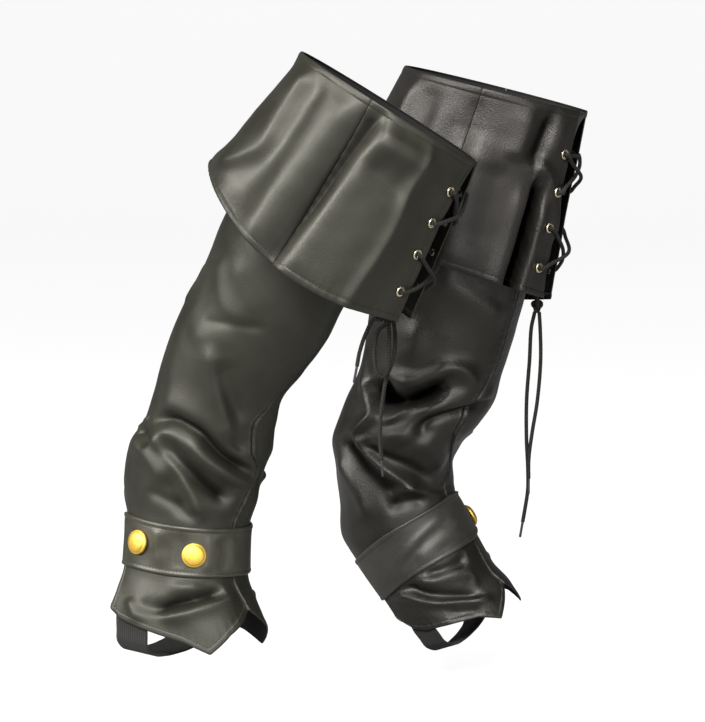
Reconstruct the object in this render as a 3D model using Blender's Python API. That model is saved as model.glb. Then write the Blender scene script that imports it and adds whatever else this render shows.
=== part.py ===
"""A pair of pirate-style boot covers in thin black faux leather, worn and walking.

Sizes are millimetres. +X is the walking direction, +Z is up, and the origin is the centre of the
right cover's top edge. Each cover is a tube of two shaft panels lofted through level sections,
with a laced cuff folded down over it, a buttoned strap over the ankle and a stirrup under the arch.
"""
import math

import bmesh
import bpy
import numpy as np
from mathutils import Matrix, Vector

MM = 0.001

SHAFT_WALL = 1.5
CUFF_WALL = 1.8
STRAP_WALL = 1.8
STIRRUP_WALL = 1.2
SEAM_GAP = 0.3
SEAT_GAP = 0.3
STRAP_LIFT = SHAFT_WALL / 2 + STRAP_WALL / 2 + 2 * SEAT_GAP

# how far each tube is turned toward the side it is seen from, in degrees
SHAFT_TURN = 25.0
CUFF_TURN = 10.0
PANEL_COLUMNS = 12
CALF_SPACING = 29.0
ANKLE_SPACING = 14.5
# creases are drawn on the cloth laid flat, at these sizes, and fade out where it is pressed smooth
CREASE_RADIUS = 60.0
CUFF_DEPTH = 150.0
STRAP_FADE = 9.0
BAND_FADE = 16.0

# one row for each level section of a shaft, top to bottom; wrap is where the panel's back edge lies,
# in degrees from the front seam, and 180 is a closed tube
# seam is how far the front seam has slipped round toward the outer side
RING_COLUMNS = ("name", "down", "x", "y", "z", "half_length", "half_width", "pitch", "wrap", "seam")
RIGHT_RINGS = (
    ("top", 0, -1, 0, -2, 86.4, 83.4, -32, 180, 0),
    ("band", 12, -7, 1, -12, 83, 79, -32, 180, 0),
    ("knee", 80, -47, 10, -68, 72, 67, -31, 180, 0),
    ("cuff_hem", 165, -92, 22, -138, 65, 63, -32, 180, 0),
    ("calf", 210, -110, 32, -178, 62, 62, -30, 180, 0),
    ("mid_calf", 247, -129, 40, -208, 60, 60, -29, 180, 2),
    ("low_calf", 286, -147, 48, -242, 56, 57, -25, 180, 8),
    ("shin", 314, -154, 53, -269, 56, 56, -18, 180, 24),
    ("slouch_top", 341, -161, 57, -295, 58, 55, -13, 180, 22),
    ("slouch", 363, -171, 60, -315, 62, 56, -10, 180, 4),
    ("collar", 390, -177, 62, -341, 62, 54, -8, 180, 12),
    ("strap_top", 419, -180, 62, -370, 57, 50, -6, 140, 19),
    ("strap_foot", 463, -185, 60, -414, 60, 52, -5, 127, 15),
    ("instep", 487, -188, 56, -437, 73, 54, -5, 122, 10),
    ("hem", 505, -190, 52, -454, 85, 55, -6, 119, 8),
    ("tip", 545, -190, 48, -492, 98, 57, -6, 114, 6),
)
LEFT_RINGS = (
    ("top", 0, 102.5, 200, 5, 85.2, 83.2, -14, 180, -10),
    ("band", 12, 99.5, 201, -7, 81, 78, -14, 180, -10),
    ("knee", 91, 79, 206, -82, 76, 67, -14, 180, -10),
    ("cuff_hem", 181, 60, 214, -170, 73, 63, -11, 180, -10),
    ("calf", 226, 52, 220, -215, 69, 61, -5, 180, -10),
    ("mid_calf", 264, 44, 224, -252, 68, 60, -1, 180, -12),
    ("low_calf", 301, 32, 228, -286, 72, 58, 2, 180, -28),
    ("shin", 329, 20, 231, -311, 69, 57, 3, 180, -28),
    ("slouch_top", 353, 10, 234, -332, 61, 55, 2, 180, -12),
    ("slouch", 374, 8, 236, -353, 55, 54, 4, 180, 4),
    ("ankle", 398, 10, 239, -377, 55, 52, 12, 180, -10),
    ("collar", 422, 12, 240, -398, 58.5, 50, 21, 180, -8),
    ("strap_top", 443, 20, 240, -413, 57.5, 50, 27, 150, -4),
    ("strap_foot", 486, 40, 238, -449, 57, 51, 33, 130, 0),
    ("instep", 510, 52, 236, -472, 57, 52, 29, 122, 0),
    ("hem", 530, 62, 233, -486, 62, 53, 24, 117, 0),
    ("tip", 570, 74, 230, -522, 72, 55, 18, 112, 0),
)

# the hem of each side panel, from the notch at centre front (0) to the back corner (1)
HEM_COLUMNS = ("share", "down")
RIGHT_HEM = ((0.0, 491), (0.25, 511), (0.4167, 530), (0.55, 522), (0.8, 515), (0.92, 511), (1.0, 504))
LEFT_HEM = ((0.0, 526), (0.25, 550), (0.4167, 540), (0.6, 537), (0.83, 534), (0.92, 528), (1.0, 508))

# the strap's two edges, from centre front (0) to its back ends (1), as distances down the shaft
STRAP_COLUMNS = ("share", "upper", "lower")
RIGHT_STRAP = ((0.0, 419, 463), (0.5, 420, 464), (1.0, 419, 463))
LEFT_STRAP = ((0.0, 413, 483), (0.55, 432, 478), (1.0, 447, 487))

# the cuff's sections, top edge to hem; the outer side falls lower than the inner one by its sag,
# and opening is half the angle that the front stays open
CUFF_COLUMNS = ("share", "x", "y", "z", "half_length", "half_width", "pitch", "sag_out", "sag_in",
                "opening")
RIGHT_CUFF = (
    (0.0, 0, 0, 0, 89, 86, -32, 0, 0, 4),
    (0.2, -13, 2, -24, 95, 88, -32, 4, 0, 17),
    (0.5, -33, 6, -60, 103, 92, -34, 11, 0, 23),
    (0.8, -53, 10, -96, 110, 96, -36, 20, 2, 24),
    (1.0, -67, 12, -120, 114, 98, -38, 28, 8, 23),
)
LEFT_CUFF = (
    (0.0, 103, 200, 7, 88, 86, -14, 0, 0, 22),
    (0.2, 92, 202, -26, 94, 88, -15, 4, 0, 24),
    (0.5, 77, 206, -75, 102, 92, -16, 11, 0, 27),
    (0.8, 62, 210, -124, 110, 96, -17, 20, -2, 27),
    (1.0, 52, 212, -156, 113, 98, -17, 28, -6, 24),
)
CUFF_SEAM = 92.0
CUFF_RADIUS = 100.0
CUFF_ROWS = (0.0, 0.05, 0.19, 0.34, 0.5, 0.66, 0.82, 0.95, 1.0)
FRONT_SHARES = (0.0, 0.14, 0.28, 0.39, 0.46, 0.52, 0.6, 0.75, 0.88, 1.0)
BACK_COLUMNS = 12

EYELET_INSET = 12.0
EYELET_HOLE = 5.2
EYELET_BARREL = 6.4
EYELET_FLANGE = 9.5
EYELET_RIM = 0.9
EYELET_TAIL = 1.6
EYELET_PLAY = 0.35
EYELET_SIDES = 10
EYELET_ROWS = (0.23, 0.43, 0.62, 0.84)

LACE_DIAMETER = 3.6
LACE_SPACING = 10.5
LACE_REACH = 5.0
LACE_OVER_EDGE = 4.4
LACE_TUCK = 6.5
KNOT_RADIUS = 5.2
TIP_DIAMETER = 2.4
TIP_LENGTH = 14.0
# each lace hangs from its knot: places from the knot's centre along X, Y and Z, then the tip
RIGHT_KNOT = Vector((-1, -8, -184))
LEFT_KNOT = Vector((139, 176, -193))
RIGHT_ENDS = {
    "long": ((5, 3.5, -3), (6.5, 4.5, -18), (4.5, 3.5, -37), (-1, 2, -51), (-5, -1, -75), (-7, -3, -102),
             (-5.5, -3, -124)),
    "short": ((-5, -3.6, -1), (-12, -5, 0), (-19, -5, -12), (-24.5, -5, -28), (-27, -5, -41)),
}
RIGHT_LOOP = ((-2.5, -2, -5.2), (-9, -5, -11), (-12, -7, -28), (-10, -7, -45), (-5, -5, -50.5),
              (-0.5, -3, -45), (1, -2, -28), (1, -1.5, -12), (0.8, -0.5, -5.8))
LEFT_ENDS = {
    "long": ((-2, 1.5, -5.4), (-5, 2.5, -20), (-6.5, 2, -50), (-9, 1, -87), (-9, 0, -123), (-7.5, 0, -153),
             (-7.5, 0, -172), (-10, 0, -190), (-12, 0, -202)),
    "short": ((2, -1.5, -5.4), (3, -2.5, -22), (3.5, -2.5, -51), (0.5, -3.5, -89), (-4, -5, -117),
              (-7, -5.4, -142), (-7, -5.4, -160)),
}

BUTTON_DIAMETER = 22.0
BUTTON_HEIGHT = 7.0
RIGHT_BUTTONS = ((109.0, 440), (57.0, 444))
LEFT_BUTTONS = ((98.0, 466), (40.0, 466))

STIRRUP_WIDTH = 24.0
STIRRUP_DROP = 30.0
STIRRUP_SHARE = 0.86
STIRRUP_OVERLAP = 12.0
STIRRUP_SET_IN = 0.8
# the band's straight legs below the hem, and its rounded run from one side of the foot to the other
STIRRUP_LEGS = (9.0, 18.0)
STIRRUP_ARCH = ((0.1, 0.72), (0.3, 1.0), (0.5, 1.05), (0.7, 1.0), (0.9, 0.72))

MATERIALS = {
    "shaft_leather": ((0.012, 0.012, 0.011), 0.36, 0.0),
    "cuff_leather": ((0.014, 0.014, 0.012), 0.36, 0.0),
    "strap_leather": ((0.011, 0.011, 0.010), 0.34, 0.0),
    "elastic": ((0.020, 0.019, 0.018), 0.85, 0.0),
    "lace_cord": ((0.016, 0.016, 0.014), 0.80, 0.0),
    "pale_gold": ((0.78, 0.62, 0.36), 0.28, 1.0),
    "antique_gold": ((0.55, 0.40, 0.20), 0.35, 1.0),
    "lace_tip": ((0.015, 0.015, 0.014), 0.40, 0.0),
}


def column(rows, columns, name):
    return [row[columns.index(name)] for row in rows]


def smooth(xs, ys, x):
    """Cubic through the points that never swings past them, and straight beyond the ends."""
    last = len(xs) - 1
    slopes = [(ys[i + 1] - ys[i]) / (xs[i + 1] - xs[i]) for i in range(last)]
    lean = [slopes[0]]
    for before, after in zip(slopes, slopes[1:]):
        lean.append(0.0 if before * after <= 0 else 2 * before * after / (before + after))
    lean.append(slopes[-1])
    if x >= xs[last]:
        return ys[last] + lean[last] * (x - xs[last])
    i = 0
    while i < last - 1 and x > xs[i + 1]:
        i += 1
    span = xs[i + 1] - xs[i]
    t = (x - xs[i]) / span
    return (ys[i] * (1 + 2 * t) * (1 - t) ** 2 + lean[i] * span * t * (1 - t) ** 2
            + ys[i + 1] * t * t * (3 - 2 * t) + lean[i + 1] * span * t * t * (t - 1))


def section(rows, columns, key, at):
    xs = column(rows, columns, key)
    return {name: smooth(xs, column(rows, columns, name), at)
            for name in columns if name not in ("name", key)}


def oval(ring, turn, side, around):
    """A point on a level section, around degrees from its front toward the outer side."""
    pitch = math.radians(ring["pitch"])
    turn = math.radians(turn)
    level = Vector((math.cos(pitch), 0, math.sin(pitch)))
    across = Vector((0, -1, 0))
    forward = level * math.cos(turn) + across * math.sin(turn)
    outer = (across * math.cos(turn) - level * math.sin(turn)) * side
    angle = math.radians(around)
    centre = Vector((ring["x"], ring["y"], ring["z"]))
    return (centre + forward * ring["half_length"] * math.cos(angle)
            + outer * ring["half_width"] * math.sin(angle))


def crease_height(creases, around, down):
    """Ridges (+) and troughs (-) of the cloth at a place on the panel, in millimetres."""
    height = 0.0
    here = Vector((math.radians(around) * CREASE_RADIUS, down))
    for crease in creases:
        start = Vector((math.radians(crease["a0"]) * CREASE_RADIUS, crease["d0"]))
        end = Vector((math.radians(crease["a1"]) * CREASE_RADIUS, crease["d1"]))
        run = end - start
        length = run.length
        along = run / length
        beside = Vector((-along.y, along.x))
        t = (here - start).dot(along) / length
        if t < -0.1 or t > 1.1:
            continue
        offset = (here - start).dot(beside) - crease["bow"] * 4 * t * (1 - t)
        width = crease["width"] * (1.0 if offset < 0 else crease["soft"])
        fade = min(1.0, max(0.0, (t + 0.1) / 0.3)) * min(1.0, max(0.0, (1.1 - t) / 0.3))
        fade = fade * fade * (3 - 2 * fade)
        height += crease["depth"] * math.exp(-(offset / width) ** 2) * fade
    return height


class Cover:
    """One boot cover's sizes and surfaces."""

    def __init__(self, name, side, rings, hem, strap, cuff, buttons, shaft_creases, cuff_creases,
                 knot, ends, loop):
        self.name = name
        self.side = side
        self.rings = rings
        self.hem = hem
        self.strap = strap
        self.cuff = cuff
        self.buttons = buttons
        self.knot = knot
        self.ends = ends
        self.loop = loop
        self.shaft_creases = [dict(zip(CREASE_COLUMNS, row)) for row in shaft_creases]
        self.cuff_creases = [dict(zip(CREASE_COLUMNS, row)) for row in cuff_creases]
        self.slouch = next(row[1] for row in self.rings if row[0] == "slouch")

    def hem_down(self, share):
        return float(np.interp(share, column(self.hem, HEM_COLUMNS, "share"),
                               column(self.hem, HEM_COLUMNS, "down")))

    def strap_edge(self, edge, share):
        return smooth(column(self.strap, STRAP_COLUMNS, "share"),
                      column(self.strap, STRAP_COLUMNS, edge), share)

    def panel_angle(self, hand, share, down):
        """Degrees from the leg's front, at a share of the way from the front seam to the back edge."""
        downs = column(self.rings, RING_COLUMNS, "down")
        wrap = min(180.0, smooth(downs, column(self.rings, RING_COLUMNS, "wrap"), down))
        seam = smooth(downs, column(self.rings, RING_COLUMNS, "seam"), down)
        trim = math.degrees(SEAM_GAP / 2 / CREASE_RADIUS)
        start = seam + hand * trim
        return start + (hand * (wrap - trim) - start) * share

    def shaft_base(self, around, down):
        return oval(section(self.rings, RING_COLUMNS, "down", down), SHAFT_TURN, self.side, around)

    def shaft_normal(self, around, down):
        sideways = self.shaft_base(around + 1, down) - self.shaft_base(around - 1, down)
        downward = self.shaft_base(around, down + 2) - self.shaft_base(around, down - 2)
        return (sideways.cross(downward) * self.side).normalized()

    def strap_fade(self, around, down):
        """Creases flatten out under the strap, which presses the cloth smooth."""
        share = min(1.0, abs(around) / 140)
        above = self.strap_edge("upper", share) - down
        below = down - self.strap_edge("lower", share)
        clear = min(1.0, max(0.0, max(above, below) / STRAP_FADE))
        return clear * clear * (3 - 2 * clear)

    def shaft_point(self, around, down, lift=0.0, creased=True):
        height = lift
        if creased:
            height += crease_height(self.shaft_creases, around, down) * self.strap_fade(around, down)
        return self.shaft_base(around, down) + self.shaft_normal(around, down) * height

    def cuff_base(self, around, share):
        ring = section(self.cuff, CUFF_COLUMNS, "share", share)
        point = oval(ring, CUFF_TURN, self.side, around)
        pitch = math.radians(ring["pitch"])
        along_leg = Vector((math.sin(pitch), 0, -math.cos(pitch)))
        sine = math.sin(math.radians(around))
        sag = ring["sag_out"] if sine > 0 else ring["sag_in"]
        return point + along_leg * sag * sine * sine

    def cuff_normal(self, around, share):
        sideways = self.cuff_base(around + 1, share) - self.cuff_base(around - 1, share)
        downward = self.cuff_base(around, share + 0.02) - self.cuff_base(around, max(0, share - 0.02))
        return (sideways.cross(downward) * self.side).normalized()

    def cuff_point(self, around, share, lift=0.0, creased=True):
        height = lift
        if creased:
            down = share * CUFF_DEPTH
            height += crease_height(self.cuff_creases, around, down) * min(1.0, down / BAND_FADE)
        return self.cuff_base(around, share) + self.cuff_normal(around, share) * height

    def cuff_edge(self, share):
        return section(self.cuff, CUFF_COLUMNS, "share", share)["opening"]


# ridges and troughs: start and end as degrees from the front seam (outer side positive) and distance
# down the cloth; bow bends the line sideways, soft widens its second flank
CREASE_COLUMNS = ("a0", "d0", "a1", "d1", "bow", "width", "soft", "depth")
RIGHT_SHAFT_CREASES = (
    (152, 357, 84, 378, 2, 8, 1.0, -4.5),
    (126, 340, 10, 371, -3, 9, 1.2, 4.5),
    (116, 326, 12, 362, -6, 9, 1.0, -4.5),
    (112, 348, 50, 414, 5, 8, 1.2, 3.5),
    (110, 396, 52, 415, 2, 8, 1.0, -4.0),
    (60, 308, 46, 338, 0, 8, 1.5, 2.0),
    (98, 242, 44, 208, 0, 14, 1.0, -3.5),
    (106, 219, 78, 229, 0, 11, 1.2, 2.5),
    (94, 248, 54, 318, -6, 12, 1.3, 2.5),
    (94, 514, 22, 476, 0, 9, 1.0, -3.0),
    (104, 500, 34, 464, -2, 9, 1.2, 3.0),
    (-150, 352, -60, 380, 3, 9, 1.0, -4.5),
    (-130, 338, -20, 366, -4, 9, 1.2, 4.0),
    (-105, 398, -45, 410, 2, 8, 1.0, -3.5),
    (-95, 236, -50, 214, 2, 14, 1.0, -3.0),
    (-92, 512, -30, 478, 0, 9, 1.0, -2.5),
)
LEFT_SHAFT_CREASES = (
    (-86, 277, -32, 272, -8, 9, 1.2, 4.5),
    (-108, 256, -68, 282, 3, 8, 1.0, -4.0),
    (-106, 274, -88, 308, 5, 8, 1.0, -3.0),
    (-20, 289, -66, 316, 0, 8, 1.0, -4.5),
    (-66, 320, -22, 354, 0, 8, 1.0, -4.0),
    (-137, 276, -112, 334, 2, 8, 1.0, -4.0),
    (-128, 300, -122, 348, 0, 10, 1.2, 3.5),
    (-110, 344, -60, 376, 0, 8, 1.0, -5.0),
    (-60, 378, -16, 410, 0, 8, 1.0, -3.5),
    (-104, 366, -40, 402, 0, 9, 1.2, 3.5),
    (-117, 488, -22, 532, 3, 8, 1.0, 3.0),
    (-92, 486, -42, 514, 2, 8, 1.0, -3.0),
    (-74, 476, -14, 493, 2, 8, 1.0, 2.5),
    (130, 300, 60, 330, 0, 9, 1.0, -4.0),
    (136, 346, 40, 372, 3, 9, 1.2, 4.0),
    (120, 384, 40, 400, 0, 8, 1.0, -4.0),
    (100, 505, 30, 486, 0, 9, 1.0, -2.5),
)
RIGHT_CUFF_CREASES = (
    (136, 4, 127, 92, 0, 9, 1.2, 3.0),
    (125, 6, 131, 136, 3, 9, 1.5, -4.0),
    (112, 0, 110, 145, 0, 14, 1.4, 3.5),
    (92, -20, 92, 170, 0, 6, 1.0, -2.5),
    (83, 8, 85, 144, 0, 7, 1.4, 2.5),
    (52, 4, 56, 160, 1, 7, 1.7, 2.5),
    (-58, 20, -58, 160, 0, 8, 1.0, -6.0),
    (-66, 10, -64, 140, 0, 8, 1.2, 3.0),
    (-92, -20, -92, 170, 0, 6, 1.0, -2.0),
    (-122, 10, -128, 140, 3, 10, 1.4, -3.5),
    (170, 0, 172, 120, 0, 12, 1.2, -3.0),
)
LEFT_CUFF_CREASES = (
    (-49, -10, -54, 47, 0, 7, 1.0, -6.0),
    (-58, 52, -57, 165, 0, 8, 1.0, -8.0),
    (-66, 8, -64, 145, 0, 7, 1.2, 3.5),
    (-51, 66, -50, 150, 0, 6, 1.2, 2.5),
    (-56, 50, -36, 88, 4, 7, 1.2, 3.0),
    (-92, -20, -92, 170, 0, 6, 1.0, -2.0),
    (-120, 10, -126, 140, 3, 10, 1.4, -3.5),
    (54, 4, 56, 160, 0, 7, 1.7, 2.5),
    (92, -20, 92, 170, 0, 6, 1.0, -2.5),
    (83, 8, 84, 144, 0, 7, 1.4, 2.5),
    (126, 6, 130, 136, 3, 9, 1.5, -4.0),
    (168, 0, 172, 120, 0, 12, 1.2, -3.0),
)

RIGHT = Cover("right", 1, RIGHT_RINGS, RIGHT_HEM, RIGHT_STRAP, RIGHT_CUFF, RIGHT_BUTTONS,
              RIGHT_SHAFT_CREASES, RIGHT_CUFF_CREASES, RIGHT_KNOT, RIGHT_ENDS, RIGHT_LOOP)
LEFT = Cover("left", -1, LEFT_RINGS, LEFT_HEM, LEFT_STRAP, LEFT_CUFF, LEFT_BUTTONS,
             LEFT_SHAFT_CREASES, LEFT_CUFF_CREASES, LEFT_KNOT, LEFT_ENDS, None)


def clear_scene():
    for item in list(bpy.data.objects):
        bpy.data.objects.remove(item, do_unlink=True)


def make_material(kind, label):
    colour, roughness, metallic = MATERIALS[kind]
    material = bpy.data.materials.new(label)
    material.use_nodes = True
    shader = material.node_tree.nodes["Principled BSDF"]
    shader.inputs["Base Color"].default_value = (*colour, 1.0)
    shader.inputs["Roughness"].default_value = roughness
    shader.inputs["Metallic"].default_value = metallic
    material.diffuse_color = (*colour, 1.0)
    return material


def add_object(name, data, kind, collection):
    item = bpy.data.objects.new(name, data)
    collection.objects.link(item)
    if kind:
        data.materials.append(make_material(kind, name + "_" + kind))
    return item


def cloth_wall(name, sheet, wall, kind, collection):
    """A wall of cloth lofted through rows of places; sheet(lift) gives the rows at a lift.

    Every cell folds along its shorter diagonal, so a strap lies parallel to the panel under it.
    """
    outside = sheet(wall / 2)
    inside = sheet(-wall / 2)
    rows = len(outside)
    columns = len(outside[0])
    mesh = bpy.data.meshes.new(name)
    work = bmesh.new()
    skin = [[[work.verts.new(point * MM) for point in row] for row in face]
            for face in (outside, inside)]
    for r in range(rows - 1):
        for c in range(columns - 1):
            corners = [(r, c), (r + 1, c), (r + 1, c + 1), (r, c + 1)]
            falling = (outside[r][c] - outside[r + 1][c + 1]).length
            rising = (outside[r + 1][c] - outside[r][c + 1]).length
            if rising < falling:
                corners = corners[1:] + corners[:1]
            for half in (corners[:3], [corners[0], *corners[2:]]):
                work.faces.new([skin[0][a][b] for a, b in half])
                work.faces.new([skin[1][a][b] for a, b in reversed(half)])
    rim = [(0, c) for c in range(columns)] + [(r, columns - 1) for r in range(1, rows)]
    rim += [(rows - 1, c) for c in range(columns - 2, -1, -1)] + [(r, 0) for r in range(rows - 2, 0, -1)]
    for (a, b), (c, d) in zip(rim, rim[1:] + rim[:1]):
        work.faces.new([skin[0][a][b], skin[0][c][d], skin[1][c][d], skin[1][a][b]])
    bmesh.ops.recalc_face_normals(work, faces=work.faces)
    work.to_mesh(mesh)
    work.free()
    return add_object(name, mesh, kind, collection)


def turned(name, profile, sides, place, kind, collection):
    """A closed profile of (radius, height) turned round the local Z axis."""
    mesh = bpy.data.meshes.new(name)
    work = bmesh.new()
    ring = [work.verts.new((radius * MM, 0, height * MM)) for radius, height in profile]
    edges = [work.edges.new((ring[i], ring[i + 1])) for i in range(len(ring) - 1)]
    if profile[0][0] > 0:
        edges.append(work.edges.new((ring[-1], ring[0])))
    bmesh.ops.spin(work, geom=ring + edges, cent=(0, 0, 0), axis=(0, 0, 1), angle=math.tau,
                   steps=sides, use_duplicate=False)
    bmesh.ops.remove_doubles(work, verts=work.verts, dist=0.00001)
    bmesh.ops.recalc_face_normals(work, faces=work.faces)
    work.to_mesh(mesh)
    work.free()
    item = add_object(name, mesh, kind, collection)
    item.matrix_world = place
    return item


def standing_on(point, normal):
    """A placement with local Z along the normal, in metres."""
    turn = normal.to_track_quat("Z", "Y").to_matrix().to_4x4()
    return Matrix.Translation(point * MM) @ turn


def cord(name, points, diameter, kind, collection):
    curve = bpy.data.curves.new(name, "CURVE")
    curve.dimensions = "3D"
    curve.bevel_depth = diameter / 2 * MM
    curve.bevel_resolution = 2
    curve.use_fill_caps = True
    spline = curve.splines.new("POLY")
    spline.points.add(len(points) - 1)
    for vertex, point in zip(spline.points, points):
        vertex.co = (*(point * MM), 1.0)
    return add_object(name, curve, kind, collection)


def smooth_route(knots, spacing):
    """Points on a smooth curve through a route's own points, which it keeps."""
    padded = [knots[0] * 2 - knots[1], *knots, knots[-1] * 2 - knots[-2]]
    route = []
    for i in range(1, len(padded) - 2):
        before, start, end, after = padded[i - 1:i + 3]
        pull = [max(0.001, (b - a).length ** 0.5)
                for a, b in ((before, start), (start, end), (end, after))]
        out = ((start - before) / pull[0] - (end - before) / (pull[0] + pull[1])
               + (end - start) / pull[1]) * pull[1]
        into = ((end - start) / pull[1] - (after - start) / (pull[1] + pull[2])
                + (after - end) / pull[2]) * pull[1]
        steps = max(1, round((end - start).length / spacing))
        for step in range(steps):
            t = step / steps
            route.append(start * (1 + 2 * t) * (1 - t) ** 2 + out * t * (1 - t) ** 2
                         + end * t * t * (3 - 2 * t) + into * t * t * (t - 1))
    route.append(knots[-1])
    return route


def shaft_lines(cover):
    """Level lines down a shaft panel, each with its distance down at a share of the way round."""
    lines = []
    marks = [row[1] for row in cover.rings if row[1] <= cover.slouch]
    downs = [0.0]
    for start, end in zip(marks, marks[1:]):
        parts = max(1, round((end - start) / (CALF_SPACING if start < 250 else ANKLE_SPACING)))
        downs += [start + (end - start) * (i + 1) / parts for i in range(parts)]
    lines += [("shaft", lambda share, down=down: down) for down in downs]
    for part in (0.25, 0.5, 0.75):
        lines.append(("ankle", lambda share, part=part: cover.slouch
                      + (cover.strap_edge("upper", share) - cover.slouch) * part))
    for part in (0.0, 0.34, 0.67, 1.0):
        lines.append(("strap", lambda share, part=part: cover.strap_edge("upper", share)
                      + (cover.strap_edge("lower", share) - cover.strap_edge("upper", share)) * part))
    for part in (0.3, 0.6, 0.82, 1.0):
        lines.append(("spat", lambda share, part=part: cover.strap_edge("lower", share)
                      + (cover.hem_down(share) - cover.strap_edge("lower", share)) * part))
    return lines


def shaft_panel(cover, hand, collection):
    """Half of the shaft: hand +1 is its outer panel and -1 its inner one."""
    shares = [i / PANEL_COLUMNS for i in range(PANEL_COLUMNS + 1)]

    def sheet(lift):
        return [[cover.shaft_point(cover.panel_angle(hand, share, line(share)), line(share), lift)
                 for share in shares] for _, line in shaft_lines(cover)]

    label = "outer" if hand > 0 else "inner"
    cloth_wall(cover.name + "_shaft_" + label, sheet, SHAFT_WALL, "shaft_leather", collection)


def strap(cover, collection):
    lines = [line for zone, line in shaft_lines(cover) if zone == "strap"]
    marks = [(1 if i >= 0 else -1, abs(i) / PANEL_COLUMNS)
             for i in range(-PANEL_COLUMNS, PANEL_COLUMNS + 1)]

    def sheet(lift):
        return [[cover.shaft_point(cover.panel_angle(hand, share, line(share)), line(share),
                                   STRAP_LIFT + lift, creased=False) for hand, share in marks]
                for line in lines]

    cloth_wall(cover.name + "_strap", sheet, STRAP_WALL, "strap_leather", collection)


def buttons(cover, collection):
    radius = BUTTON_DIAMETER / 2
    profile = ((0, 0), (radius * 0.9, 0), (radius, 1.6), (radius * 0.94, 3.2), (radius * 0.72, 5.4),
               (radius * 0.38, 6.6), (0, BUTTON_HEIGHT))
    face = STRAP_LIFT + STRAP_WALL / 2
    for number, (around, down) in enumerate(cover.buttons, 1):
        normal = cover.shaft_normal(around, down)
        middle = cover.shaft_point(around, down, face, creased=False)
        spots = [cover.shaft_point(around + a, down + d, face, creased=False)
                 for a in (-12, -6, 0, 6, 12) for d in (-11, -5, 0, 5, 11)]
        rise = max((spot - middle).dot(normal) for spot in spots)
        turned("%s_button_%d" % (cover.name, number), profile, 14,
               standing_on(middle + normal * (rise + SEAT_GAP), normal), "antique_gold", collection)


def cuff_angle(cover, share_around, share, part):
    """Degrees from the opening's middle, at a share of the way across one cuff panel."""
    trim = math.degrees(SEAM_GAP / 2 / (CUFF_RADIUS * 0.9))
    edge = cover.cuff_edge(share)
    if part == "outer":
        return edge + (CUFF_SEAM - trim - edge) * share_around
    if part == "inner":
        return -(edge + (CUFF_SEAM - trim - edge) * share_around)
    return CUFF_SEAM + trim + (360 - 2 * CUFF_SEAM - 2 * trim) * share_around


def cuff_panel(cover, part, collection):
    shares = FRONT_SHARES
    if part == "back":
        shares = [i / BACK_COLUMNS for i in range(BACK_COLUMNS + 1)]

    def sheet(lift):
        return [[cover.cuff_point(cuff_angle(cover, across, share, part), share, lift)
                 for across in shares] for share in CUFF_ROWS]

    return cloth_wall("%s_cuff_%s" % (cover.name, part), sheet, CUFF_WALL, "cuff_leather", collection)


def eyelet_seat(cover, hand, share):
    inset = math.degrees(EYELET_INSET / CUFF_RADIUS)
    around = hand * (cover.cuff_edge(share) + inset)
    return cover.cuff_point(around, share), cover.cuff_normal(around, share)


def eyelets(cover, panels, collection, cutters):
    hole = EYELET_HOLE / 2
    barrel = EYELET_BARREL / 2
    flange = EYELET_FLANGE / 2
    face = CUFF_WALL / 2 + EYELET_PLAY
    profile = ((hole, -EYELET_TAIL), (barrel, -EYELET_TAIL), (barrel, face), (flange, face),
               (flange - EYELET_RIM, face + 1.0), (hole + 0.3, face + EYELET_RIM))
    cut_profile = ((0, -6), (barrel + EYELET_PLAY, -6), (barrel + EYELET_PLAY, 6), (0, 6))
    for part, hand in (("outer", 1), ("inner", -1)):
        for number, share in enumerate(EYELET_ROWS, 1):
            point, normal = eyelet_seat(cover, hand, share)
            name = "%s_eyelet_%s_%d" % (cover.name, part, number)
            place = standing_on(point, normal)
            turned(name, profile, EYELET_SIDES, place, "pale_gold", collection)
            cutter = turned(name + "_cut", cut_profile, EYELET_SIDES, place, None, cutters)
            cutter.hide_render = True
            cutter.display_type = "WIRE"
            cut = panels[part].modifiers.new("hole_%d" % number, "BOOLEAN")
            cut.operation = "DIFFERENCE"
            cut.solver = "EXACT"
            cut.object = cutter


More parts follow.
